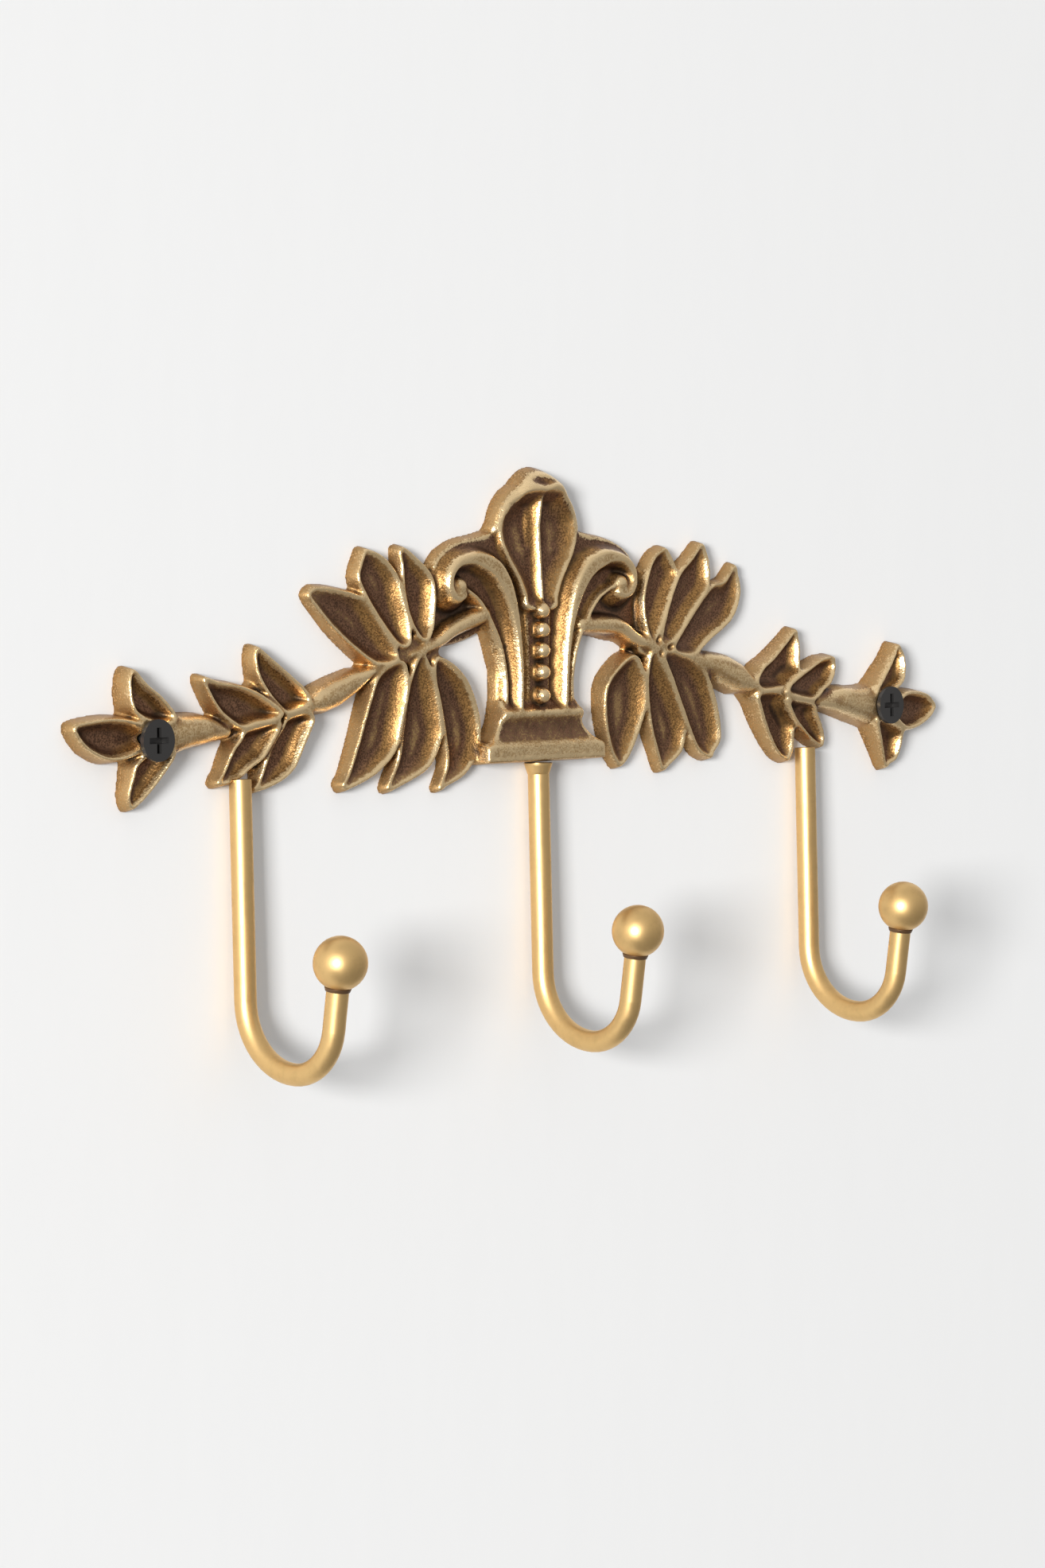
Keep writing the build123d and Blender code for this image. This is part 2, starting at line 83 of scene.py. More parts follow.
CHEVRON_LEAVES = (
    Leaf((-79, 5), (-90.5, 19), ((-83, 4.3), (-85.2, 5.8), (-87.8, 8.5), (-90.3, 12.5), (-91, 16)),
         ((-75.7, 6.5), (-77, 9.5), (-80.5, 12.3), (-84.5, 15.3), (-88.2, 18)), 6.0, 4.0),
    Leaf((-84.7, 4.5), (-106.6, 12.6), ((-88.4, 7.5), (-92, 9.5), (-96.6, 11), (-102, 11.8)),
         ((-88, 2.8), (-92, 2.3), (-96.2, 1.6), (-99, 2.8), (-102, 5), (-104, 7.5), (-105.8, 10.5)),
         6.4, 4.0),
    Leaf((-77, 5), (-91, -12.3),
         ((-82.6, 3.8), (-84.3, 1.5), (-86, -1), (-87.4, -3.5), (-88.6, -7), (-90, -10.5)),
         ((-74.7, 3), (-75.8, 0), (-77.2, -2.8), (-78.6, -5.8), (-80, -8), (-82.7, -10),
          (-86.4, -11.5)),
         6.0, 3.4),
    Leaf((-85.8, 3), (-102.2, -10.5),
         ((-90, 2.6), (-95.3, 1.2), (-96.6, -0.7), (-98.3, -2.7), (-99.5, -5), (-100.9, -8)),
         ((-85.6, 1.2), (-87, -1.2), (-88.5, -3.5), (-89.8, -5.2), (-91.5, -6.2), (-93.7, -7.5),
          (-96, -9.2), (-98.8, -10.2)),
         6.2, 3.6),
    Leaf((76.5, 5), (92.8, 19), ((75.4, 7.5), (78, 10.5), (82, 12.5), (86, 15), (90, 17.7)),
         ((80.5, 4.6), (86, 5.2), (89.2, 7), (92.5, 8.8), (93.3, 11.5), (93.6, 15)), 6.0, 4.0),
    Leaf((86, 4), (107.3, 11.8), ((88, 6.5), (92.5, 8.5), (96.5, 10), (101.5, 11.8), (105.5, 12.3)),
         ((90.5, 2.8), (96.2, 2), (99, 2.4), (102, 4.3), (105, 5.8), (106.8, 8), (107.5, 10)),
         6.4, 4.0),
    Leaf((77.4, 4.8), (90.3, -12.3),
         ((75.4, 3.5), (76.8, 1), (78.5, -2), (81, -5.5), (83.7, -8.8), (86.6, -11.3)),
         ((84.6, 4.6), (87.2, 2), (89.7, -0.8), (91.3, -3.3), (91.5, -6), (91.6, -9.5)), 6.0, 3.4),
    Leaf((86.8, 3), (103, -9.3),
         ((87.4, 0.8), (89.4, -1.6), (91.4, -3.5), (94.2, -5.4), (97.3, -7.4), (100.3, -8.9)),
         ((92, 2.4), (98, 1.2), (100, -1.5), (101.8, -4), (103.3, -7)), 6.2, 3.6),
)
TREFOIL_LEAVES = (
    Leaf((-121.5, 3), (-128.5, 15), ((-128, 5.5), (-129.5, 9), (-129.5, 12.5)),
         ((-117, 4.5), (-120.5, 9), (-124.5, 12)), 6.6, 5.0),
    Leaf((-123, 0.5), (-144.5, 3), ((-128, 4), (-134, 5), (-140.5, 4.5)),
         ((-128.5, -3), (-135, -4), (-141, -1.5)), 6.6, 3.9),
    Leaf((-121.5, -1), (-128, -14.5), ((-127.5, -4.5), (-128.5, -8), (-129, -11.5)),
         ((-117.5, -3), (-120.5, -8), (-124, -12)), 6.6, 3.5),
    Leaf((123.5, 2), (131.5, 14.5), ((131, 5), (133, 8.5), (133, 12)),
         ((120, 3.5), (124.5, 8), (128.5, 12)), 6.6, 5.0),
    Leaf((126.5, -1.5), (146.7, -1), ((132, 2.5), (137, 3), (143, 2)),
         ((132, -6), (137.5, -6), (143.5, -4)), 6.6, 3.9),
    Leaf((124, -3), (128, -15.5), ((131.5, -6), (132.5, -9.5), (131.5, -13.5)),
         ((120, -3.5), (122.5, -8), (125, -12)), 6.6, 3.5),
)
# A stem: (x, z) points along it, the height of its round top and its half-width on the wall
Stem = namedtuple("Stem", "points tops halves")
STEMS = (
    Stem(((-119, 0.5), (-113, 1.3), (-107, 1.6), (-100, 1)), (6.6, 6.6, 6.2, 4.5), (5.5, 4.4, 3.8, 2)),
    Stem(((120, 0), (115, 0.5), (109, 1.5), (101, 1.5)), (6.6, 6.6, 6.2, 4.5), (5.5, 4.6, 4.0, 2)),
    Stem(((-77, 5.3), (-71, 7), (-66, 8.5), (-59.5, 11), (-53.5, 13.5)), (5.6, 6.0, 5.6, 5.0, 4.8),
         (1.5, 3.6, 3.8, 3.0, 0.9)),
    Stem(((77.5, 5.3), (71, 8), (66, 10), (59.5, 12), (53, 13.8)), (5.6, 6.0, 5.6, 5.0, 4.8),
         (1.5, 4.2, 4.4, 3.2, 0.9)),
    Stem(((-43, 16.4), (-38, 17.8), (-33, 19.5), (-28, 22), (-18, 25)), (5.0, 5.5, 5.4, 5.3, 4.8),
         (1.2, 1.9, 2.2, 2.4, 2.6)),
    Stem(((43, 15.6), (38, 16.8), (33, 18.5), (27, 21.5), (15, 22)), (5.0, 5.5, 5.4, 5.3, 4.8),
         (1.2, 1.9, 2.3, 2.6, 2.6)),
)
# Run of the casting's outer walls from rim to wall plane
WALL_RUN = 0.8
# A flat area: its height, (x, z) outline, whether the outline is rounded, and the run of its walls
Flat = namedtuple("Flat", "top outline rounded run", defaults=(True, WALL_RUN))
# Low flats under the place where the leaves of a spray meet its stem
HUBS = (
    Flat(4.2,
         ((-46.5, 15.5), (-46, 18.5), (-43, 20), (-39, 19.6), (-35, 19.8), (-33.5, 15.8), (-38, 15),
          (-43.5, 14.5))),
    Flat(4.2,
         ((46.5, 14.5), (45.5, 17.5), (43, 19), (37, 19), (33.5, 19), (35, 15), (40, 14.3),
          (44, 13.5))),
)
# Low pads that close the casting between the leaf roots: x, z, height, radius
ROOT_PADS = (
    (-45, 16.5, 3.4, 4), (45, 16, 3.4, 4), (-84, 5, 3.4, 4), (-90, 3, 3.4, 4), (84, 5, 3.4, 4),
    (90, 3, 3.4, 4), (-95, 1.5, 3.4, 4), (95, 2, 3.4, 4), (-92, -5.5, 2.6, 3), (92, -4.5, 2.6, 3),
    (-90, 9, 3, 3), (91, 8, 3, 3), (-76, 5, 3.4, 3), (76, 5, 3.4, 3),
)
# A rib: (x, z) points along it, heights of its top, half-width of the top, run of its hollow flanks,
# the floor they end on and the power of their curve
Rib = namedtuple("Rib", "points tops land reach floor bend")
# A dip: middle (x, z), half-width, half-height and depth
Dip = namedtuple("Dip", "x z half rise depth")
# The fleur; of the petal's side, the band, outer rib, scroll eye, flange and web the right half is given
PETAL_SIDE = ((4.4, 26), (5.7, 29), (7.6, 33), (10.4, 37), (12.5, 41), (12.9, 44.5), (11.6, 48.2),
              (8.4, 51.2), (5.2, 53.6))
PETAL_RIM_LEVELS = (26, 40, 46, 50, 53.6)
PETAL_RIM_HEIGHTS = (5.4, 4.7, 4.2, 4.7, 7.0)
LIP = Rib(
    ((-12.9, 44.5), (-11.6, 48), (-10.1, 50.4), (-8.2, 52.1), (-5.4, 53.3), (-2.5, 53.6), (0.4, 53.5),
     (3, 54.4), (5.4, 54), (8.4, 51.9), (10.4, 50.2), (11.9, 48), (12.9, 44.5)),
    (4.2, 4.1, 4.6, 5.6, 6.6, 7.0, 7.0, 7.3, 6.9, 5.6, 4.8, 4.4, 4.4),
    0.35, 1.4, 3.2, 1.7,
)
HOOD = (
    (-13.8, 44), (-11.7, 48), (-9.5, 51.6), (-7, 55), (-3.3, 57.9), (0.6, 59),
    (4.6, 57.9), (8.2, 55), (10.6, 51.6), (12.2, 48), (13.6, 44),
)
HOOD_DIP = Dip(0.8, 55.4, 3.2, 0.9, 1.6)
HOOD_BEND = 2.2
MIDRIB = Rib(((0.4, 27.5), (0.3, 36), (0, 45), (0, 52.8)), (5.6, 4.9, 4.7, 6.0), 0.05, 2.8, 2.7, 2.6)
BEAD_PANEL = Flat(3.8, ((-3.6, 4), (3.6, 4), (3.9, 15), (4.4, 27), (-4.4, 27), (-3.9, 15)), False, 1.2)
BAND = Rib(
    ((7.6, 3.5), (7.8, 12), (8.7, 20), (10.2, 26), (12.6, 31.5), (16, 35.4), (20.5, 37.4), (24, 37.8),
     (28, 37), (30.6, 34.8), (31.2, 32), (30.2, 29.8), (28.2, 28.9), (26.4, 29.6)),
    (6.0, 6.2, 6.3, 6.4, 6.5, 6.5, 6.5, 6.5, 6.4, 6.4, 6.3, 6.3, 6.2, 6.0),
    (0.3, 0.4, 0.6, 1.0, 1.5, 1.8, 1.6, 1.1, 0.8, 0.7, 0.7, 0.7, 0.7, 0.7),
    2.2, 2.8, 1.7,
)
OUTER_RIB = Rib(
    ((11.2, 3.5), (11.2, 10), (12.8, 17), (15.7, 22.5), (20, 28), (25, 31)),
    (4.6, 4.6, 4.7, 4.8, 4.9, 5.2),
    0.25, 1.5, 2.4, 1.7,
)
# Boss in the scroll: x, z, height, radius
SCROLL_EYE = (27.3, 31.4, 6.3, 2.3)
FLEUR_BODY = Flat(2.8, (
    (-13, 3), (-12.8, 12), (-16, 21), (-22, 28), (-26, 36), (-12, 40),
    (12, 40), (26, 36), (22, 28), (16, 21), (12.8, 12), (13, 3),
), False)
FLANGE = Flat(3.0, (
    (9, 36), (13.5, 43), (20, 42.6), (27, 41.2), (32.5, 38), (34, 33), (30, 29.5), (20, 32),
))
WEB = Flat(1.8, ((17, 22), (38, 19), (37, 34), (24, 36)))
# Beads on the panel: their levels, height and radius
BEADS = (6.0, 11.4, 16.4, 21.2, 25.6)
BEAD_TOP, BEAD_RADIUS = 6.8, 2.0
# Plinth: levels and heights of its profile, then levels and half-widths of its sides
PLINTH_LEVELS = (-9.4, -9.0, -5.3, -4.8, -3.9, -2.6, -1.2, 0, 0.8, 1.4, 2.4, 3.0, 3.7, 4.8)
PLINTH_HEIGHTS = (6.0, 6.7, 6.7, 6.3, 5.4, 4.8, 4.6, 4.8, 5.3, 5.8, 5.8, 5.1, 4.2, 3.5)
PLINTH_SIDE_LEVELS = (-9.4, -5.2, -4, -2, 0, 2, 4.8)
PLINTH_HALVES = (20, 19.8, 17.4, 15.2, 14, 13.4, 13)
# Screws: pitch, radius and height of the sink, radius of the hole
SCREW_PITCH, SCREW_SINK, SCREW_SINK_TOP, SCREW_HOLE = 248.0, 4.65, 6.9, 2.4
# Rods: pitch, level of the tops, half-width of the slots, distance from the wall, radius
ROD_PITCH, ROD_TOP, ROD_CLEAR, ROD_STANDOFF, ROD_RADIUS = 95.8, -9.6, 2.6, 3.4, 2.5
# Hook arms: lean, seam below the ball's middle, reach in which a ball is looked for
ARM_LEAN, SEAM_DROP, BALL_REACH = math.radians(8.5), 5.8, 20

# How each kind of leaf is carved: depth of its dish, extra rim width at the root, half-width of its tip
Carving = namedtuple("Carving", "depth crest blunt")
LEAF_GROUPS = (
    (SPRAY_LEAVES, Carving(2.8, 0.1, 1.1)),
    (CHEVRON_LEAVES, Carving(3.0, 0.6, 0.6)),
    (TREFOIL_LEAVES, Carving(3.0, 0.6, 0.9)),
)
# Tip corners lie this share of their half-width behind the tip; width of the rim; its flat run outwards
TIP_BACK, LEAF_RIM, RIM_LAND = 0.5, 0.25, 0.1
# Dish of a leaf: share of the half-width where it is deepest, least run, power of its curve, and its
# most depth as a share of the rim's height
DISH_REACH, DISH_LEAST, DISH_BEND, DISH_LIMIT = 0.7, 0.5, 2.0, 0.62
# Petal: width of its rim, run, power and depth of its dish, run of its outer walls
PETAL_LAND, PETAL_REACH, PETAL_BEND, PETAL_DEPTH, PETAL_WALL_RUN = 0.3, 5.0, 1.6, 2.3, 0.5
# Power of a stem's round section, run of the plinth's side walls, spacing of points on a curve, a hair
STEM_ROUND, PLINTH_WALL_RUN, LINE_STEP, HAIR = 2.4, 0.9, 0.3, 0.01
# Cast skin: reach over which clefts close, softness; seed, size, depths and least height of its roughness
WELD_REACH, CAST_SOFTNESS = 0.6, 0.24
ROUGH_SEED, ROUGH_SIZE, ROUGH_PLINTH, ROUGH_CREST, ROUGH_FROM = 7, 0.3, 0.05, 0.02, 1

# Wear, patina and painted shade: reach in which rims are looked for; half-width and top level of the
# plinth's strip, and the height that it counts as at most
RIM_REACH, STRIP_SIDE, STRIP_TOP, STRIP_COUNTS = 3.6, 21, -4.5, 4
# Cove of the plinth: half-width, lower and upper level, and how far below a rim it counts at least
COVE_SIDE, COVE_LOW, COVE_HIGH, COVE_DROP = 14.6, -4.4, 0.5, 1.1
# Smoothing, start and run of each kind of wear, patina and painted shade: first the brown patina of the
# hollows and the near-black painted shade of deep recesses, then the rubbed edges, the near-black painted
# shade of creases and the rubbed flats
DEPTH_WEAR, DEEP_RECESS_SHADE = (0.25, 0, 3.0), (0.4, 3.0, 1.4)
EDGE_WEAR, CREVICE_SHADE, FLAT_WEAR = (0.25, 0, 0.4), (0.2, 0, 0.6), (0.3, -0.8, 0.5)
# Smoothing that edges stand out from; least height and gleam of flats; smoothing and share of the slope,
# which set the painted shade on the hollows' flanks that face away from the key lamp
BULGE_REACH, FLAT_FROM, FLAT_GLEAM, SHADE_SLOPE_BLUR, SHADE_SLOPE_SHARE = 0.8, 4, 0.55, 0.4, 0.7
# Outer walls: how far they reach in, smoothing, share of gleam and of brown, least height
WALL_REACH, WALL_BLUR, WALL_GLEAM, WALL_BROWN, WALL_LEAST = 1.1, 0.25, 0.22, 0.45, 1

# Textures, in cycles per metre
GRAIN_SCALE, MOTTLE_SCALE, MARK_SCALES = 2400.0, 260.0, (1600.0, 110.0, 1600.0)
SCRATCH_SCALES, PLASTER_SCALES = (1500.0, 1500.0, 50.0), (60.0, 60.0, 25.0)
# Ranges that values are mapped from, and to where that isn't 0 to 1
SPECK, CLOUD = (0.38, 0.64, -0.16, 0.16), (0.3, 0.7, -0.09, 0.09)
# The last range of the next line turns the slope into painted shade on hollow flanks facing away from the
# key lamp
# The second range of the next line turns creases and deep recesses near black: painted shade
BROWNING, DARKENING, RUBBING, PAINTED_SHADE_SIDE = (0.06, 0.42), (0.3, 0.95, 0.0, 0.92), (0.25, 0.75), (0.1, 0.45)
SPARKLE, CAST_ROUGHNESS = (0.36, 0.64, 0.55, 1.45), (0.0, 1.0, 0.42, 0.27)
ROD_MOTTLE, ROD_ROUGHNESS, ROD_SHADE = (0.45, 0.75, 0.0, 0.35), (0.3, 0.7, 0.38, 0.48), 0.7
SKY_ACROSS, SKY_UP, BACKDROP = (-0.5, 1.0, 0.95, 0.85), (-0.6, 0.8, 0.55, 1.15), (0.88, 0.88, 0.88)
SATIN_BRASS = "satin rod brass"

# A collar of braze in millimetres: gap to the rod at mid-length, length, flare as a share, thickness
Braze = namedtuple("Braze", "clear length flare thickness")
BALL_BRAZE = Braze(0.02, 0.9, 0.12, 0.35)
COLLAR_BRAZE = Braze(0.25, 2.6, 0.3, 0.2)
RING_SIDES, RING_SMOOTH_ANGLE = 48, math.radians(40)

# Stage in metres, degrees and watts
WALL_SIZE, WALL_LEAD = 6, 0.00005
KEY_PLACE, KEY_SIZE = (-8.2, -4.35, 0.72), 2.0
REAR_PLACE, REAR_SIZE, REAR_POWER = (0.6, 2.5, 0.8), 1.5, 40
# Turn, tilt and roll of the camera, its place, and its sensor's width in millimetres
CAMERA_ANGLES, CAMERA_PLACE, SENSOR_WIDTH = (46.93, 2.86, -0.42), (-0.91763, -0.85617, 0.04805), 36


class CrestSettings(bpy.types.PropertyGroup):
    """Sizes and colours of the cast crest."""

    cell: bpy.props.FloatProperty(
        name="Relief cell", description="Grid cell of the carved relief", default=0.25 * MM, unit="LENGTH"
    )
    voxel: bpy.props.FloatProperty(
        name="Skin cell", description="Cell size of the cast skin", default=0.3 * MM, unit="LENGTH"
    )
    triangles: bpy.props.IntProperty(
        name="Triangles", description="Most triangles of the crest", default=192000, subtype="UNSIGNED"
    )
    gold: bpy.props.FloatVectorProperty(
        name="Gold", description="Plain brass of the walls", subtype="COLOR", size=3,
        default=(0.48, 0.305, 0.135), min=0, max=1,
    )
    # Patina of the hollows' flanks that face away from the key lamp, darker as painted shade
    patina_painted_shade: bpy.props.FloatVectorProperty(
        name="Patina", description="Purple brown of the hollows' right flanks", subtype="COLOR", size=3,
        default=(0.19, 0.1, 0.058), min=0, max=1,
    )
    # Patina of the hollows' flanks that face the key lamp, lighter as painted light
    patina_painted_light: bpy.props.FloatVectorProperty(
        name="Bronze", description="Golden brown of the hollows' left flanks", subtype="COLOR", size=3,
        default=(0.33, 0.178, 0.062), min=0, max=1,
    )
    # Near black painted shade of creases and deep recesses
    crevice: bpy.props.FloatVectorProperty(
        name="Crevice", description="Near black of the deepest crevices", subtype="COLOR", size=3,
        default=(0.03, 0.02, 0.014), min=0, max=1,
    )
    rubbed: bpy.props.FloatVectorProperty(
        name="Rubbed gold", description="Pale gold of the rubbed edges", subtype="COLOR", size=3,
        default=(0.85, 0.63, 0.35), min=0, max=1,
    )


class HookSettings(bpy.types.PropertyGroup):
    """Colours of the rods, balls and screws."""

    brass: bpy.props.FloatVectorProperty(
        name="Rod brass", description="Satin brass of rods and balls", subtype="COLOR", size=3,
        default=(0.76, 0.51, 0.22), min=0, max=1,
    )
    braze: bpy.props.FloatVectorProperty(
        name="Braze", description="Brown of the brazed seams", subtype="COLOR", size=3,
        default=(0.16, 0.09, 0.045), min=0, max=1,
    )
    screw: bpy.props.FloatVectorProperty(
        name="Screw black", description="Black oxide of the screws", subtype="COLOR", size=3,
        default=(0.055, 0.052, 0.05), min=0, max=1,
    )


class StageSettings(bpy.types.PropertyGroup):
    """Wall, lamps and camera."""

    wall: bpy.props.FloatVectorProperty(
        name="Wall", description="Paint of the wall", subtype="COLOR", size=3,
        default=(0.87, 0.87, 0.865), min=0, max=1,
    )
    key: bpy.props.FloatProperty(
        name="Key", description="Power of the key lamp in watts", default=1040, unit="POWER"
    )
    sky: bpy.props.FloatProperty(
        name="Sky", description="Strength of the soft surrounding light", default=0.6, subtype="FACTOR"
    )
    lens: bpy.props.FloatProperty(
        name="Lens", description="Focal length of the camera", default=124.37, unit="CAMERA"
    )


def select_only(piece):
    """Make one object the only selected and active one."""
    bpy.ops.object.select_all(action="DESELECT")
    piece.select_set(True)
    bpy.context.view_layer.objects.active = piece


def apply_modifier(piece, kind, **settings):
    """Add a modifier with these settings and apply it at once."""
    select_only(piece)
    modifier = piece.modifiers.new(kind.lower(), kind)
    for name, value in settings.items():
        setattr(modifier, name, value)
    bpy.ops.object.modifier_apply(modifier=modifier.name)


def finish_piece(piece, material, slot, *nodes):
    """Give a piece its material and body, in place of these CAD nodes; the slot is not used."""
    piece.data.materials.clear()
    piece.data.materials.append(material)
    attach(piece, BODY)
    if nodes:
        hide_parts(*nodes)


def dress_node(node, material):
    """Give a CAD node's own mesh a material."""
    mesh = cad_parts[node].data
    mesh.materials.clear()
    mesh.materials.append(material)


def smooth_line(points, closed=False):
    """Points close together on a smooth curve through the given points."""
    points = np.array(points, float)
    first, last = 2 * points[:1] - points[1:2], 2 * points[-1:] - points[-2:-1]
    ring = np.vstack([points[-1:], points, points[:2]]) if closed else np.vstack([first, points, last])
    line = []
    for a, b, c, d in zip(ring, ring[1:], ring[2:], ring[3:]):
        for t in np.linspace(0, 1, max(2, int(np.linalg.norm(c - b) / LINE_STEP)), endpoint=False):
            bow = (2 * a - 5 * b + 4 * c - d) * t**2 + (3 * b - a - 3 * c + d) * t**3
            line.append(0.5 * (2 * b + (c - a) * t + bow))
    if not closed:
        line.append(points[-1])
    return np.array(line)


def mirrored(points, sign):
    """Points with their x turned to one side of the fleur."""
    return tuple((sign * x, z) for x, z in points)


class Relief:
    """Height of the casting's front above the wall on a grid over the wall, in millimetres."""

    # Height where nothing stands, span of the grid, room around a shape, a far distance, a least square
    LOW = -1.5
    SPAN_X = (-151, 151)
    SPAN_Z = (-19, 62)
    MARGIN = 3
    FAR = 1e9
    LEAST = 1e-9

    def __init__(self, cell):
        """Lay out the grid, with the front still below the wall."""
        self.cell = cell
        self.x = np.arange(self.SPAN_X[0], self.SPAN_X[1] + cell, cell)
        self.z = np.arange(self.SPAN_Z[0], self.SPAN_Z[1] + cell, cell)
        self.height = np.full((len(self.z), len(self.x)), self.LOW)

    def grid(self):
        """x and z of every grid point."""
        return np.meshgrid(self.x, self.z)

    def window(self, line, margin):
        """Slices and coordinates of the grid around a line."""
        low, high = line.min(0) - margin, line.max(0) + margin
        cols = slice(*np.searchsorted(self.x, (low[0], high[0])))
        rows = slice(*np.searchsorted(self.z, (low[1], high[1])))
        return (rows, cols), *np.meshgrid(self.x[cols], self.z[rows])

    def measure(self, line, closed, margin):
        """Distance to a line, share of the way along it and, for a loop, what is inside."""
        where, x, z = self.window(line, margin)
        best = np.full(x.shape, self.FAR)
        share = np.zeros(x.shape)
        inside = np.zeros(x.shape, bool)
        ends = np.vstack([line[1:], line[:1]]) if closed else line[1:]
        for i, (a, b) in enumerate(zip(line, ends)):
            run = b - a
            length = max(run @ run, self.LEAST)
            t = np.clip(((x - a[0]) * run[0] + (z - a[1]) * run[1]) / length, 0, 1)
            gap = np.hypot(x - a[0] - t * run[0], z - a[1] - t * run[1])
            nearer = gap < best
            best = np.where(nearer, gap, best)
            share = np.where(nearer, (i + t) / len(ends), share)
            if closed and a[1] != b[1]:
                inside ^= ((a[1] > z) != (b[1] > z)) & (x < a[0] + run[0] * (z - a[1]) / run[1])
        return where, x, z, best, share, inside

    def along(self, points, line, values, share):
        """Values given at a smooth line's points, spread over its whole run."""
        steps = [np.argmin(np.hypot(*(line - p).T)) for p in np.array(points, float)]
        return np.interp(share, np.array(steps) / (len(line) - 1), values)

    def raise_to(self, where, height):
        """Lift the front wherever this height lies above it."""
        self.height[where] = np.maximum(self.height[where], height)

    def leaf(self, leaf, carving):
        """Scooped leaf: a rim that slopes from root to tip, a dished middle and steep outer walls."""
        root, tip = np.array(leaf.root, float), np.array(leaf.tip, float)
        axis = (tip - root) / ((tip - root) @ (tip - root))
        ahead = axis / np.linalg.norm(axis)
        across = np.array((-ahead[1], ahead[0]))
        across *= np.sign(across @ (np.array(leaf.one[-1]) - np.array(leaf.other[-1])))
        back = TIP_BACK * ahead
        end = (tip - carving.blunt * (back - across), tip, tip - carving.blunt * (back + across))
        line = smooth_line([leaf.root, *leaf.one, *end, *reversed(leaf.other)], True)
        where, x, z, gap, _, inside = self.measure(line, True, self.MARGIN)
        run = np.clip((x - root[0]) * axis[0] + (z - root[1]) * axis[1], 0, 1)
        rim = leaf.rim_root + (leaf.rim_tip - leaf.rim_root) * run
        edge = LEAF_RIM + carving.crest * (1 - run)
        reach = np.maximum(DISH_REACH * gap[inside].max() - edge, DISH_LEAST)
        dish = 1 - (1 - np.clip((gap - edge) / reach, 0, 1)) ** DISH_BEND
        depth = np.minimum(carving.depth, DISH_LIMIT * rim)
        wall = rim * np.maximum(gap - RIM_LAND, 0) / WALL_RUN
        self.raise_to(where, np.where(inside, rim - depth * dish, rim - wall))

    def rib(self, rib):
        """Rib with a narrow top and hollow flanks down to a floor."""
        line = smooth_line(rib.points)
        where, _, _, gap, share, _ = self.measure(line, False, rib.reach + np.max(rib.land))
        top = self.along(rib.points, line, rib.tops, share)
        half = self.along(rib.points, line, np.broadcast_to(rib.land, len(rib.points)), share)
        fall = (1 - np.clip((gap - half) / rib.reach, 0, 1)) ** rib.bend
        flank = rib.floor + (top - rib.floor) * fall
        self.raise_to(where, np.where(gap < rib.reach + half, flank, self.LOW))

    def stem(self, stem):
        """Round-topped stem."""
        line = smooth_line(stem.points)
        where, _, _, gap, share, _ = self.measure(line, False, max(stem.halves) + self.MARGIN)
        top = self.along(stem.points, line, stem.tops, share)
        half = self.along(stem.points, line, stem.halves, share)
        arch = np.maximum(1 - (gap / half) ** STEM_ROUND, 0) ** 0.5
        self.raise_to(where, np.where(gap < half, top * arch, self.LOW))

    def plateau(self, flat):
        """Flat area with steep walls."""
        line = smooth_line(flat.outline, True) if flat.rounded else np.array(flat.outline, float)
        where, _, _, gap, _, inside = self.measure(line, True, self.MARGIN)
        self.raise_to(where, np.where(inside, flat.top, flat.top - flat.top * gap / flat.run))

    def dome(self, x0, z0, top, radius):
        """Ball-shaped boss."""
        where, x, z = self.window(np.array([[x0, z0]]), radius)
        gap = np.hypot(x - x0, z - z0)
        round_top = np.sqrt(np.maximum(radius**2 - gap**2, 0))
        self.raise_to(where, np.where(gap < radius, top - radius + round_top, self.LOW))

    def swept(self, field, reach, pick):
        """Largest or smallest value of a field within a reach of each grid point."""
        cells = int(round(reach / self.cell))
        span = range(-cells, cells + 1)
        shifts = [(i, j) for i in span for j in span if i * i + j * j <= cells * cells]
        result = field
        for shift in shifts:
            result = pick(result, np.roll(field, shift, (0, 1)))
        return result

    def blurred(self, field, reach):
        """Field smoothed over a reach."""
        rows = np.fft.fftfreq(field.shape[0])[:, None]
        cols = np.fft.rfftfreq(field.shape[1])[None]
        damp = np.exp(-2 * (np.pi * reach / self.cell) ** 2 * (rows**2 + cols**2))
        return np.fft.irfft2(np.fft.rfft2(field) * damp, field.shape)

    def share(self, field, blur, start, run):
        """Smoothed field as a share: 0 up to its start, 1 after its run."""
        return np.clip((self.blurred(field, blur) - start) / run, 0, 1)

    def sample(self, field, x, z):
        """Field at loose points, from the nearest grid point."""
        cols = np.clip(np.rint((x - self.x[0]) / self.cell).astype(int), 0, len(self.x) - 1)
        rows = np.clip(np.rint((z - self.z[0]) / self.cell).astype(int), 0, len(self.z) - 1)
        return field[rows, cols]


def petal(relief):
    """Centre petal: dished halves beside a midrib, with a lip at the tip."""
    loop = [*mirrored(PETAL_SIDE, -1), *reversed(PETAL_SIDE)]
    where, _, z, gap, _, inside = relief.measure(smooth_line(loop, True), True, relief.MARGIN)
    rim = np.interp(z, PETAL_RIM_LEVELS, PETAL_RIM_HEIGHTS)
    dish = 1 - (1 - np.clip((gap - PETAL_LAND) / PETAL_REACH, 0, 1)) ** PETAL_BEND
    wall = rim * np.maximum(gap - RIM_LAND, 0) / PETAL_WALL_RUN
    relief.raise_to(where, np.where(inside, rim - PETAL_DEPTH * dish, rim - wall))
    relief.rib(MIDRIB)
    relief.rib(LIP)


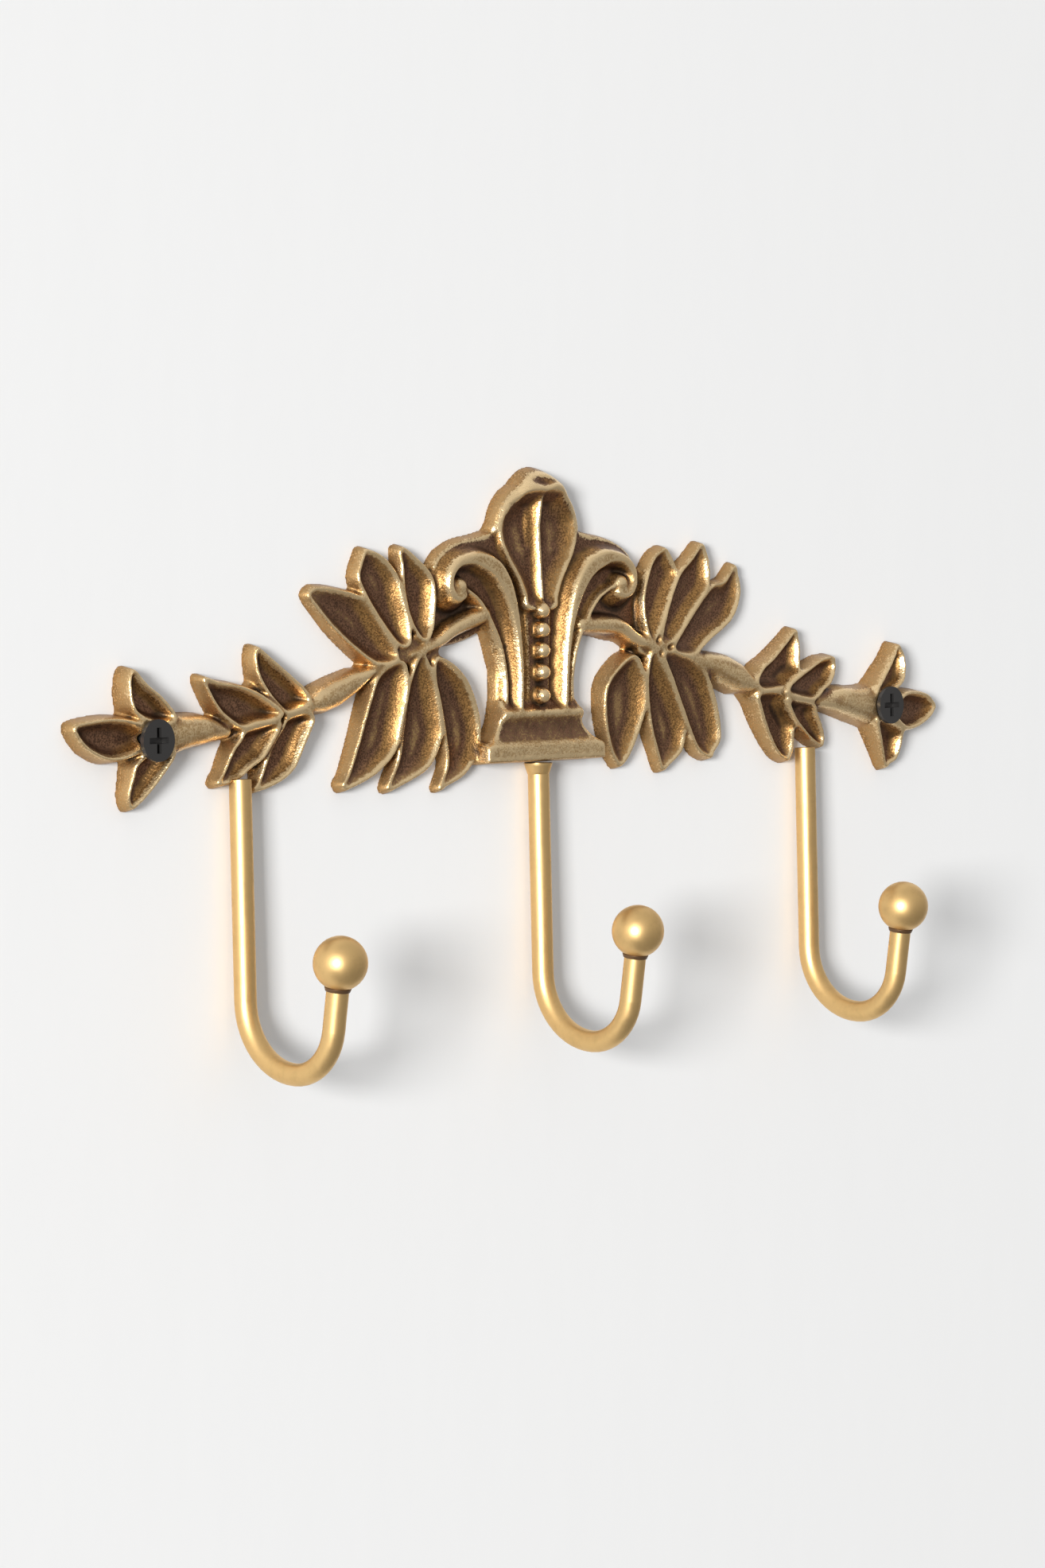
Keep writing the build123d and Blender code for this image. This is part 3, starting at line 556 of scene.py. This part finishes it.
def hood(relief):
    """Tip of the petal, curled forward: slopes back from the lip, with a dip in its crown."""
    lip = smooth_line(LIP.points)
    where, x, z, edge, _, inside = relief.measure(smooth_line(HOOD, True), True, relief.MARGIN)
    gap, share = np.full(x.shape, relief.FAR), np.zeros(x.shape)
    for i, point in enumerate(lip):
        reach = np.hypot(x - point[0], z - point[1])
        share = np.where(reach < gap, i / (len(lip) - 1), share)
        gap = np.minimum(gap, reach)
    behind = inside & (z > np.interp(x, lip[:, 0], lip[:, 1]))
    top = relief.along(LIP.points, lip, LIP.tops, share)
    across, up = (x - HOOD_DIP.x) / HOOD_DIP.half, (z - HOOD_DIP.z) / HOOD_DIP.rise
    dip = HOOD_DIP.depth * np.exp(-(across**2) - up**2)
    slope = top * (1 - (gap / (gap + edge + HAIR)) ** HOOD_BEND) - dip
    relief.raise_to(where, np.where(behind, slope, relief.LOW))


def plinth(relief):
    """Moulded foot of the fleur: front strip, hollow cove and rolled top edge."""
    side, low, high = PLINTH_HALVES[0], PLINTH_LEVELS[0], PLINTH_LEVELS[-1]
    where, x, z = relief.window(np.array([[-side, low], [side, high]]), relief.MARGIN)
    half = np.interp(z, PLINTH_SIDE_LEVELS, PLINTH_HALVES)
    profile = smooth_line(list(zip(PLINTH_LEVELS, PLINTH_HEIGHTS)))
    top = np.interp(z, profile[:, 0], profile[:, 1])
    face = top * (1 - np.maximum(np.abs(x) - half, 0) / PLINTH_WALL_RUN)
    relief.raise_to(where, np.where((z < low) | (z > high), relief.LOW, face))


def fleur(relief):
    """Centre of the crest: petal, scrolls and ribs on a flat body over the plinth."""
    relief.plateau(FLEUR_BODY)
    relief.plateau(BEAD_PANEL)
    for sign in (1, -1):
        for flat in (WEB, FLANGE):
            relief.plateau(flat._replace(outline=mirrored(flat.outline, sign)))
        for rib in (BAND, OUTER_RIB):
            relief.rib(rib._replace(points=mirrored(rib.points, sign)))
        relief.dome(sign * SCROLL_EYE[0], *SCROLL_EYE[1:])
    petal(relief)
    hood(relief)
    plinth(relief)


def roughen(relief):
    """Fine cast roughness over the front, deeper on the plinth."""
    grid_x, grid_z = relief.grid()
    rough = relief.blurred(np.random.default_rng(ROUGH_SEED).standard_normal(grid_x.shape), ROUGH_SIZE)
    on_plinth = (np.abs(grid_x) < PLINTH_HALVES[0]) & (grid_z < PLINTH_LEVELS[-1])
    on_plinth &= grid_z > PLINTH_LEVELS[0]
    depth = np.where(on_plinth, ROUGH_PLINTH, ROUGH_CREST)
    relief.height += np.where(relief.height > ROUGH_FROM, rough / rough.std() * depth, 0)


def cut_seats(relief):
    """Countersunk screw holes, and slots for the tops of the outer rods."""
    grid_x, grid_z = relief.grid()
    for x in (-SCREW_PITCH / 2, SCREW_PITCH / 2):
        gap = np.hypot(grid_x - x, grid_z)
        sunk = np.where(gap < SCREW_HOLE, relief.LOW, SCREW_SINK_TOP - (SCREW_SINK - gap))
        relief.height = np.where(gap < SCREW_SINK, np.minimum(relief.height, sunk), relief.height)
    for x in (-ROD_PITCH, ROD_PITCH):
        slot = (np.abs(grid_x - x) < ROD_CLEAR) & (grid_z < ROD_TOP)
        relief.height = np.where(slot, relief.LOW, relief.height)


def crest_relief(cell):
    """The whole front of the crest."""
    relief = Relief(cell)
    for pad in ROOT_PADS:
        relief.dome(*pad)
    for hub in HUBS:
        relief.plateau(hub)
    for stem in STEMS:
        relief.stem(stem)
    for leaves, carving in LEAF_GROUPS:
        for leaf in leaves:
            relief.leaf(leaf, carving)
    fleur(relief)
    grown = relief.swept(relief.height, WELD_REACH, np.maximum)
    relief.height = relief.swept(grown, WELD_REACH, np.minimum)
    for z in BEADS:
        relief.dome(0, z, BEAD_TOP, BEAD_RADIUS)
    relief.height = relief.blurred(relief.height, CAST_SOFTNESS)
    roughen(relief)
    cut_seats(relief)
    return relief


def relief_mesh(relief, voxel, triangles):
    """Closed casting from the relief: flat back on the wall, even skin, limited triangles."""
    bpy.ops.object.select_all(action="DESELECT")
    columns, rows = len(relief.x), len(relief.z)
    bpy.ops.mesh.primitive_grid_add(x_subdivisions=columns - 1, y_subdivisions=rows - 1, size=1)
    piece = bpy.context.object
    grid_x, grid_z = relief.grid()
    places = np.stack([grid_x, -relief.height, grid_z], -1)
    piece.data.vertices.foreach_set("co", places.ravel())
    piece.data.update()
    bpy.ops.object.mode_set(mode="EDIT")
    bpy.ops.mesh.select_all(action="SELECT")
    bpy.ops.mesh.bisect(plane_co=(0, 0, 0), plane_no=(0, 1, 0), use_fill=True, clear_outer=True)
    bpy.ops.mesh.select_all(action="SELECT")
    bpy.ops.mesh.normals_make_consistent(inside=False)
    bpy.ops.object.mode_set(mode="OBJECT")
    apply_modifier(piece, "REMESH", mode="VOXEL", voxel_size=voxel / MM)
    apply_modifier(piece, "SMOOTH", factor=0.5, iterations=2)
    count = sum(len(face.vertices) - 2 for face in piece.data.polygons)
    apply_modifier(piece, "DECIMATE", ratio=min(1.0, triangles / count))
    piece.data.transform(Matrix.Scale(MM, 4))
    select_only(piece)
    bpy.ops.object.shade_smooth()
    return piece


def drop_below_rims(relief, solid):
    """How far each grid point lies below the rims around it."""
    grid_x, grid_z = relief.grid()
    strip = (np.abs(grid_x) < STRIP_SIDE) & (grid_z < STRIP_TOP)
    rims = np.where(strip, np.minimum(solid, STRIP_COUNTS), solid)
    below = relief.swept(rims, RIM_REACH, np.maximum) - solid
    cove = (np.abs(grid_x) < COVE_SIDE) & (grid_z > COVE_LOW) & (grid_z < COVE_HIGH)
    return np.where(cove, np.maximum(below, COVE_DROP), below)


def store_wear_and_shade(piece, relief):
    """Keep on the mesh how far it lies below its rims, where edges and crevices are, and which way slopes
    face: patina, rubbed edges and painted shade; outer walls turn browner towards the wall plane.
    """
    places = np.empty(len(piece.data.vertices) * 3)
    piece.data.vertices.foreach_get("co", places)
    x, y, z = places.reshape(-1, 3).T / MM
    solid = np.maximum(relief.height, 0)
    below = drop_below_rims(relief, solid)
    bulge = solid - relief.blurred(solid, BULGE_REACH)
    wall = relief.blurred(relief.swept((solid <= 0) * 1.0, WALL_REACH, np.maximum), WALL_BLUR)
    inner = 1 - np.clip(wall, 0, 1)
    flat = FLAT_GLEAM * relief.share(-below, *FLAT_WEAR) * (solid > FLAT_FROM)
    # The slope across tells which hollow flanks face away from the key lamp; those get painted shade
    lean = np.gradient(relief.blurred(solid, SHADE_SLOPE_BLUR), relief.cell, axis=1)
    edge = np.maximum(relief.share(bulge, *EDGE_WEAR), flat)
    fields = {
        "painted_shade_side": np.clip(0.5 - SHADE_SLOPE_SHARE * lean, 0, 1),
        "depth": inner * relief.share(below, *DEPTH_WEAR),
        # This share and the crevice share set near-black painted shade in deep recesses and creases
        "pit": inner * relief.share(below, *DEEP_RECESS_SHADE),
        "edge": inner * edge + WALL_GLEAM * (1 - inner),
        "crevice": inner * relief.share(-bulge, *CREVICE_SHADE),
    }
    values = {name: relief.sample(field, x, z) for name, field in fields.items()}
    rim = np.maximum(relief.sample(relief.swept(solid, WALL_REACH, np.maximum), x, z), WALL_LEAST)
    values["depth"] += WALL_BROWN * (1 - relief.sample(inner, x, z)) * np.clip(1 + y / rim, 0, 1)
    for name, value in values.items():
        layer = piece.data.attributes.new(name, "FLOAT", "POINT")
        layer.data.foreach_set("value", value.astype(np.float32))


class Nodes:
    """Short way to add and join shader nodes in one tree."""

    def __init__(self, tree):
        """Work on this tree."""
        self.tree = tree

    def add(self, kind, settings=None, **inputs):
        """A node with these settings; an input is a plain value or a socket to join, i0 the first one."""
        node = self.tree.nodes.new(kind)
        for name, value in (settings or {}).items():
            setattr(node, name, value)
        for name, value in inputs.items():
            key = int(name[1:]) if name[1:].isdigit() else name.replace("_", " ")
            if isinstance(value, bpy.types.NodeSocket):
                self.tree.links.new(value, node.inputs[key])
            else:
                node.inputs[key].default_value = value
        return node

    def ramp(self, value, low, high, to_low=0.0, to_high=1.0):
        """Value mapped smoothly from one range to another."""
        node = self.add("ShaderNodeMapRange", {"interpolation_type": "SMOOTHSTEP"}, Value=value)
        for name, number in zip(("From Min", "From Max", "To Min", "To Max"), (low, high, to_low, to_high)):
            node.inputs[name].default_value = number
        return node.outputs[0]

    def mix(self, share, one, other, blend="MIX"):
        """Colour mixed from one to the other by a share."""
        settings = {"data_type": "RGBA", "blend_type": blend}
        return self.add("ShaderNodeMix", settings, i0=share, i6=one, i7=other).outputs[2]

    def math(self, operation, one, other):
        """Result of a sum on two values."""
        return self.add("ShaderNodeMath", {"operation": operation}, i0=one, i1=other).outputs[0]

    def noise(self, place, scale=1.0, detail=3.0, roughness=0.55):
        """Value of a noise texture."""
        inputs = {"Vector": place, "Scale": scale, "Detail": detail, "Roughness": roughness}
        return self.add("ShaderNodeTexNoise", **inputs).outputs[0]

    def stretched(self, place, scales):
        """Coordinates scaled along each axis."""
        return self.add("ShaderNodeMapping", i0=place, i3=scales).outputs[0]

    def attribute(self, name):
        """Value of a mesh attribute."""
        return self.add("ShaderNodeAttribute", {"attribute_name": name}).outputs["Fac"]

    def link(self, value, socket):
        """Join a value to a socket."""
        self.tree.links.new(value, socket)


def new_material(name):
    """Material with an empty tree but for its shader, and a helper on it."""
    material = bpy.data.materials.new(name)
    material.use_nodes = True
    nodes = Nodes(material.node_tree)
    shader = material.node_tree.nodes["Principled BSDF"]
    place = nodes.add("ShaderNodeTexCoord").outputs["Object"]
    return material, nodes, shader, place


def metal_grain():
    """Shader group shared by the brass pieces: fine grain, mottling and file marks."""
    group = bpy.data.node_groups.new("metal grain", "ShaderNodeTree")
    group.interface.new_socket("Place", in_out="INPUT", socket_type="NodeSocketVector")
    for name in ("Grain", "Mottle", "Marks"):
        group.interface.new_socket(name, in_out="OUTPUT", socket_type="NodeSocketFloat")
    nodes = Nodes(group)
    place = nodes.add("NodeGroupInput").outputs[0]
    out = group.nodes.new("NodeGroupOutput").inputs
    nodes.link(nodes.noise(place, GRAIN_SCALE, detail=2.0, roughness=0.6), out["Grain"])
    nodes.link(nodes.noise(place, MOTTLE_SCALE, detail=4.0, roughness=0.6), out["Mottle"])
    nodes.link(nodes.noise(nodes.stretched(place, MARK_SCALES), detail=2.0), out["Marks"])
    return group


def grain_group():
    """The shared grain group, made on first use."""
    return bpy.data.node_groups.get("metal grain") or metal_grain()


def cast_brass(colours):
    """Antique brass: brown patina in hollows, darker on flanks facing away from the key lamp as painted
    shade, near-black painted shade in creases and deep recesses, pale rubbed edges, cast grain.
    """
    material, nodes, shader, place = new_material("antique cast brass")
    texture = nodes.add("ShaderNodeGroup", {"node_tree": grain_group()}, Place=place).outputs
    speck = nodes.ramp(texture["Grain"], *SPECK)
    uneven = nodes.math("ADD", speck, nodes.ramp(texture["Mottle"], *CLOUD))
    # Creases and deep recesses turn near black: painted shade
    sunk = nodes.math("MAXIMUM", nodes.attribute("crevice"), nodes.attribute("pit"))
    brown = nodes.ramp(nodes.math("ADD", nodes.attribute("depth"), uneven), *BROWNING)
    dark = nodes.ramp(nodes.math("ADD", sunk, uneven), *DARKENING)
    bright = nodes.ramp(nodes.math("ADD", nodes.attribute("edge"), uneven), *RUBBING)
    # Hollow flanks facing away from the key lamp take the darker patina: painted shade
    painted_shade_side = nodes.ramp(nodes.attribute("painted_shade_side"), *PAINTED_SHADE_SIDE)
    hollow = nodes.mix(painted_shade_side, (*colours.patina_painted_light, 1), (*colours.patina_painted_shade, 1))
    grainy = nodes.mix(1.0, hollow, nodes.ramp(texture["Grain"], *SPARKLE), "MULTIPLY")
    colour = nodes.mix(brown, (*colours.gold, 1), grainy)
    colour = nodes.mix(dark, colour, (*colours.crevice, 1))
    colour = nodes.mix(bright, colour, (*colours.rubbed, 1))
    bump = nodes.add("ShaderNodeBump", Strength=0.6, Distance=0.14 * MM, Height=texture["Grain"])
    marks = nodes.add("ShaderNodeBump", Strength=0.4, Distance=0.12 * MM, Height=texture["Marks"])
    nodes.link(bump.outputs[0], marks.inputs["Normal"])
    nodes.link(colour, shader.inputs["Base Color"])
    nodes.link(nodes.ramp(bright, *CAST_ROUGHNESS), shader.inputs["Roughness"])
    nodes.link(marks.outputs[0], shader.inputs["Normal"])
    shader.inputs["Metallic"].default_value = 0.92
    return material


def rod_brass(colours):
    """Satin drawn brass with faint scratches."""
    material, nodes, shader, place = new_material(SATIN_BRASS)
    texture = nodes.add("ShaderNodeGroup", {"node_tree": grain_group()}, Place=place).outputs
    scratch = nodes.noise(nodes.stretched(place, SCRATCH_SCALES), detail=2.0)
    shaded = (*(ROD_SHADE * c for c in colours.brass), 1)
    colour = nodes.mix(nodes.ramp(texture["Mottle"], *ROD_MOTTLE), (*colours.brass, 1), shaded)
    bump = nodes.add("ShaderNodeBump", Strength=0.12, Distance=0.06 * MM, Height=scratch)
    nodes.link(colour, shader.inputs["Base Color"])
    nodes.link(nodes.ramp(texture["Mottle"], *ROD_ROUGHNESS), shader.inputs["Roughness"])
    nodes.link(bump.outputs[0], shader.inputs["Normal"])
    shader.inputs["Metallic"].default_value = 1.0
    return material


def satin_brass(colours):
    """The satin brass of rods, balls and collar, made on first use."""
    return bpy.data.materials.get(SATIN_BRASS) or rod_brass(colours)


def plain_metal(name, colour, metallic, roughness):
    """Plain metal of one colour."""
    material, _, shader, _ = new_material(name)
    shader.inputs["Base Color"].default_value = (*colour, 1)
    shader.inputs["Metallic"].default_value = metallic
    shader.inputs["Roughness"].default_value = roughness
    return material


class HOOKRACK_OT_crest(bpy.types.Operator):
    """Cast crest: relief of leaves and fleur with a fine cast skin"""

    bl_idname = "hookrack.crest"
    bl_label = "Crest casting"

    def execute(self, context):
        sizes = context.scene.crest_settings
        relief = crest_relief(sizes.cell / MM)
        crest = relief_mesh(relief, sizes.voxel, sizes.triangles)
        crest.name = "crest"
        store_wear_and_shade(crest, relief)
        finish_piece(crest, cast_brass(sizes), "cast_brass", "crest_casting")
        return {"FINISHED"}


class HOOKRACK_OT_hooks(bpy.types.Operator):
    """Satin finish of the rods and balls"""

    bl_idname = "hookrack.hooks"
    bl_label = "Hooks"

    def execute(self, context):
        for node in ("hook_rods", "hook_balls"):
            dress_node(node, satin_brass(context.scene.hook_settings))
        return {"FINISHED"}


def flared_ring(name, place, lean, braze):
    """Small collar of braze around a rod, wider at its upper end."""
    thickness = braze.thickness * MM
    bpy.ops.object.select_all(action="DESELECT")
    bpy.ops.mesh.primitive_cylinder_add(
        vertices=RING_SIDES, radius=(ROD_RADIUS + braze.clear) * MM, depth=braze.length * MM,
        end_fill_type="NOTHING",
    )
    ring = bpy.context.object
    ring.name = name
    bpy.ops.object.mode_set(mode="EDIT")
    bpy.ops.mesh.select_all(action="SELECT")
    bpy.ops.mesh.subdivide(number_cuts=3)
    bpy.ops.object.mode_set(mode="OBJECT")
    apply_modifier(ring, "SIMPLE_DEFORM", deform_method="TAPER", factor=braze.flare, deform_axis="Z")
    apply_modifier(ring, "SOLIDIFY", thickness=thickness, offset=1.0)
    apply_modifier(ring, "BEVEL", width=thickness / 3, segments=2, limit_method="ANGLE")
    ring.data.transform(Matrix.Translation(place) @ Matrix.Rotation(lean, 4, "X"))
    select_only(ring)
    bpy.ops.object.shade_smooth_by_angle(angle=RING_SMOOTH_ANGLE)
    return ring


def ball_middle(x):
    """Middle of the CAD ball on the hook at this x."""
    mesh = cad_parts["hook_balls"].data
    places = np.empty(len(mesh.vertices) * 3)
    mesh.vertices.foreach_get("co", places)
    places = places.reshape(-1, 3)
    ball = places[np.abs(places[:, 0] - x * MM) < BALL_REACH * MM]
    if not len(ball):
        raise RuntimeError(f"no ball found on the hook at x = {x} mm")
    return Vector((ball.min(0) + ball.max(0)) / 2)


class HOOKRACK_OT_braze(bpy.types.Operator):
    """Brazed seams: a flared collar under the plinth and a ring under each ball"""

    bl_idname = "hookrack.braze"
    bl_label = "Braze"

    def execute(self, context):
        colours = context.scene.hook_settings
        seam = plain_metal("braze", colours.braze, metallic=0.8, roughness=0.45)
        drop = SEAM_DROP * MM * Vector((0, -math.sin(ARM_LEAN), math.cos(ARM_LEAN)))
        for name, x in (("left", -ROD_PITCH), ("centre", 0), ("right", ROD_PITCH)):
            ring = flared_ring(f"braze_ring_{name}", ball_middle(x) - drop, ARM_LEAN, BALL_BRAZE)
            finish_piece(ring, seam, "rod_brass")
        collar_place = Vector((0, -ROD_STANDOFF, ROD_TOP - COLLAR_BRAZE.length / 2)) * MM
        collar = flared_ring("braze_collar", collar_place, 0, COLLAR_BRAZE)
        finish_piece(collar, satin_brass(colours), "rod_brass")
        return {"FINISHED"}


class HOOKRACK_OT_screws(bpy.types.Operator):
    """Black finish of the screws"""

    bl_idname = "hookrack.screws"
    bl_label = "Screws"

    def execute(self, context):
        colour = context.scene.hook_settings.screw
        dress_node("wall_screws", plain_metal("black screw", colour, metallic=0.6, roughness=0.38))
        return {"FINISHED"}


def wall_material(colour):
    """Painted wall, seen from the front only and open to light from behind."""
    material, nodes, shader, place = new_material("painted wall")
    shader.inputs["Base Color"].default_value = (*colour, 1)
    shader.inputs["Roughness"].default_value = 0.9
    plaster = nodes.noise(nodes.stretched(place, PLASTER_SCALES), detail=6.0)
    bump = nodes.add("ShaderNodeBump", Strength=0.08, Distance=1.0 * MM, Height=plaster)
    nodes.link(bump.outputs[0], shader.inputs["Normal"])
    back = nodes.add("ShaderNodeNewGeometry").outputs["Backfacing"]
    clear = nodes.add("ShaderNodeBsdfTransparent").outputs[0]
    either = nodes.add("ShaderNodeMixShader", i0=back, i1=shader.outputs[0], i2=clear)
    nodes.link(either.outputs[0], material.node_tree.nodes["Material Output"].inputs[0])
    return material


def build_wall(colour):
    """Wall that the rack hangs on, a hair in front of its back, so that the back is lit from behind."""
    bpy.ops.object.select_all(action="DESELECT")
    upright = (math.pi / 2, 0, 0)
    bpy.ops.mesh.primitive_plane_add(size=WALL_SIZE, location=(0, -WALL_LEAD, 0), rotation=upright)
    wall = bpy.context.object
    wall.name = "wall"
    bpy.ops.object.transform_apply(location=True, rotation=True, scale=True)
    wall.data.materials.append(wall_material(colour))


def studio_world(strength):
    """Soft surroundings, brighter on the left and above, pale where the camera looks at them."""
    world = bpy.data.worlds.new("studio")
    world.use_nodes = True
    nodes = Nodes(world.node_tree)
    toward = nodes.add("ShaderNodeTexCoord").outputs["Generated"]
    axes = nodes.add("ShaderNodeSeparateXYZ", i0=toward).outputs
    grey = nodes.math("MULTIPLY", nodes.ramp(axes[0], *SKY_ACROSS), nodes.ramp(axes[2], *SKY_UP))
    seen = nodes.add("ShaderNodeLightPath").outputs["Is Camera Ray"]
    soft = world.node_tree.nodes["Background"]
    soft.inputs["Color"].default_value = (1, 1, 1, 1)
    nodes.link(nodes.math("MULTIPLY", grey, strength), soft.inputs["Strength"])
    pale = nodes.add("ShaderNodeBackground", Color=(*BACKDROP, 1), Strength=1.0)
    either = nodes.add("ShaderNodeMixShader", i0=seen, i1=soft.outputs[0], i2=pale.outputs[0])
    nodes.link(either.outputs[0], world.node_tree.nodes["World Output"].inputs[0])
    return world


def area_lamp(name, place, size, power):
    """Soft square lamp at a place, aimed at the middle of the rack."""
    light = bpy.data.lights.new(name, "AREA")
    light.energy = power
    light.size = size
    lamp = bpy.data.objects.new(name, light)
    bpy.context.scene.collection.objects.link(lamp)
    lamp.location = place
    lamp.rotation_mode = "QUATERNION"
    lamp.rotation_quaternion = (-Vector(place)).to_track_quat("-Z", "Y")


def build_camera(lens):
    """Camera at the photo's place, with its turn, tilt and roll."""
    yaw, pitch, roll = (math.radians(angle) for angle in CAMERA_ANGLES)
    ahead = Vector((math.sin(yaw) * math.cos(pitch), math.cos(yaw) * math.cos(pitch), -math.sin(pitch)))
    level = Vector((math.cos(yaw), -math.sin(yaw), 0))
    up = level.cross(ahead)
    right = level * math.cos(roll) + up * math.sin(roll)
    above = up * math.cos(roll) - level * math.sin(roll)
    data = bpy.data.cameras.new("camera")
    data.lens = lens
    data.sensor_width = SENSOR_WIDTH
    camera = bpy.data.objects.new("camera", data)
    bpy.context.scene.collection.objects.link(camera)
    turn = Matrix((right, above, -ahead)).transposed().to_4x4()
    camera.matrix_world = Matrix.Translation(Vector(CAMERA_PLACE)) @ turn
    return camera


class HOOKRACK_OT_stage(bpy.types.Operator):
    """Wall, soft studio lamps and the camera at the photo's place"""

    bl_idname = "hookrack.stage"
    bl_label = "Stage"

    def execute(self, context):
        sizes = context.scene.stage_settings
        build_wall(sizes.wall)
        context.scene.world = studio_world(sizes.sky)
        area_lamp("key", KEY_PLACE, KEY_SIZE, sizes.key)
        area_lamp("rear fill", REAR_PLACE, REAR_SIZE, REAR_POWER)
        context.scene.camera = build_camera(sizes.lens)
        context.scene.view_settings.view_transform = "Standard"
        return {"FINISHED"}


OPERATORS = (
    HOOKRACK_OT_crest,
    HOOKRACK_OT_hooks,
    HOOKRACK_OT_braze,
    HOOKRACK_OT_screws,
    HOOKRACK_OT_stage,
)


class HOOKRACK_PT_panel(bpy.types.Panel):
    """Sidebar panel that lists the pieces of the hook rack"""

    bl_idname = "HOOKRACK_PT_panel"
    bl_label = "Hook rack"
    bl_space_type = "VIEW_3D"
    bl_region_type = "UI"
    bl_category = "Hook rack"

    def draw(self, context):
        for operator in OPERATORS:
            self.layout.operator(operator.bl_idname)


GROUPS = {"crest_settings": CrestSettings, "hook_settings": HookSettings, "stage_settings": StageSettings}
CLASSES = (*GROUPS.values(), *OPERATORS, HOOKRACK_PT_panel)


def register():
    """Add the classes and the scene's settings."""
    for cls in CLASSES:
        bpy.utils.register_class(cls)
    for name, group in GROUPS.items():
        setattr(bpy.types.Scene, name, bpy.props.PointerProperty(type=group))


def unregister():
    """Take the settings and classes away again."""
    for name in GROUPS:
        delattr(bpy.types.Scene, name)
    for cls in reversed(CLASSES):
        bpy.utils.unregister_class(cls)


def main():
    """Build every piece and the stage."""
    register()
    bpy.ops.hookrack.crest()
    bpy.ops.hookrack.hooks()
    bpy.ops.hookrack.braze()
    bpy.ops.hookrack.screws()
    bpy.ops.hookrack.stage()


if __name__ == "__main__":
    main()
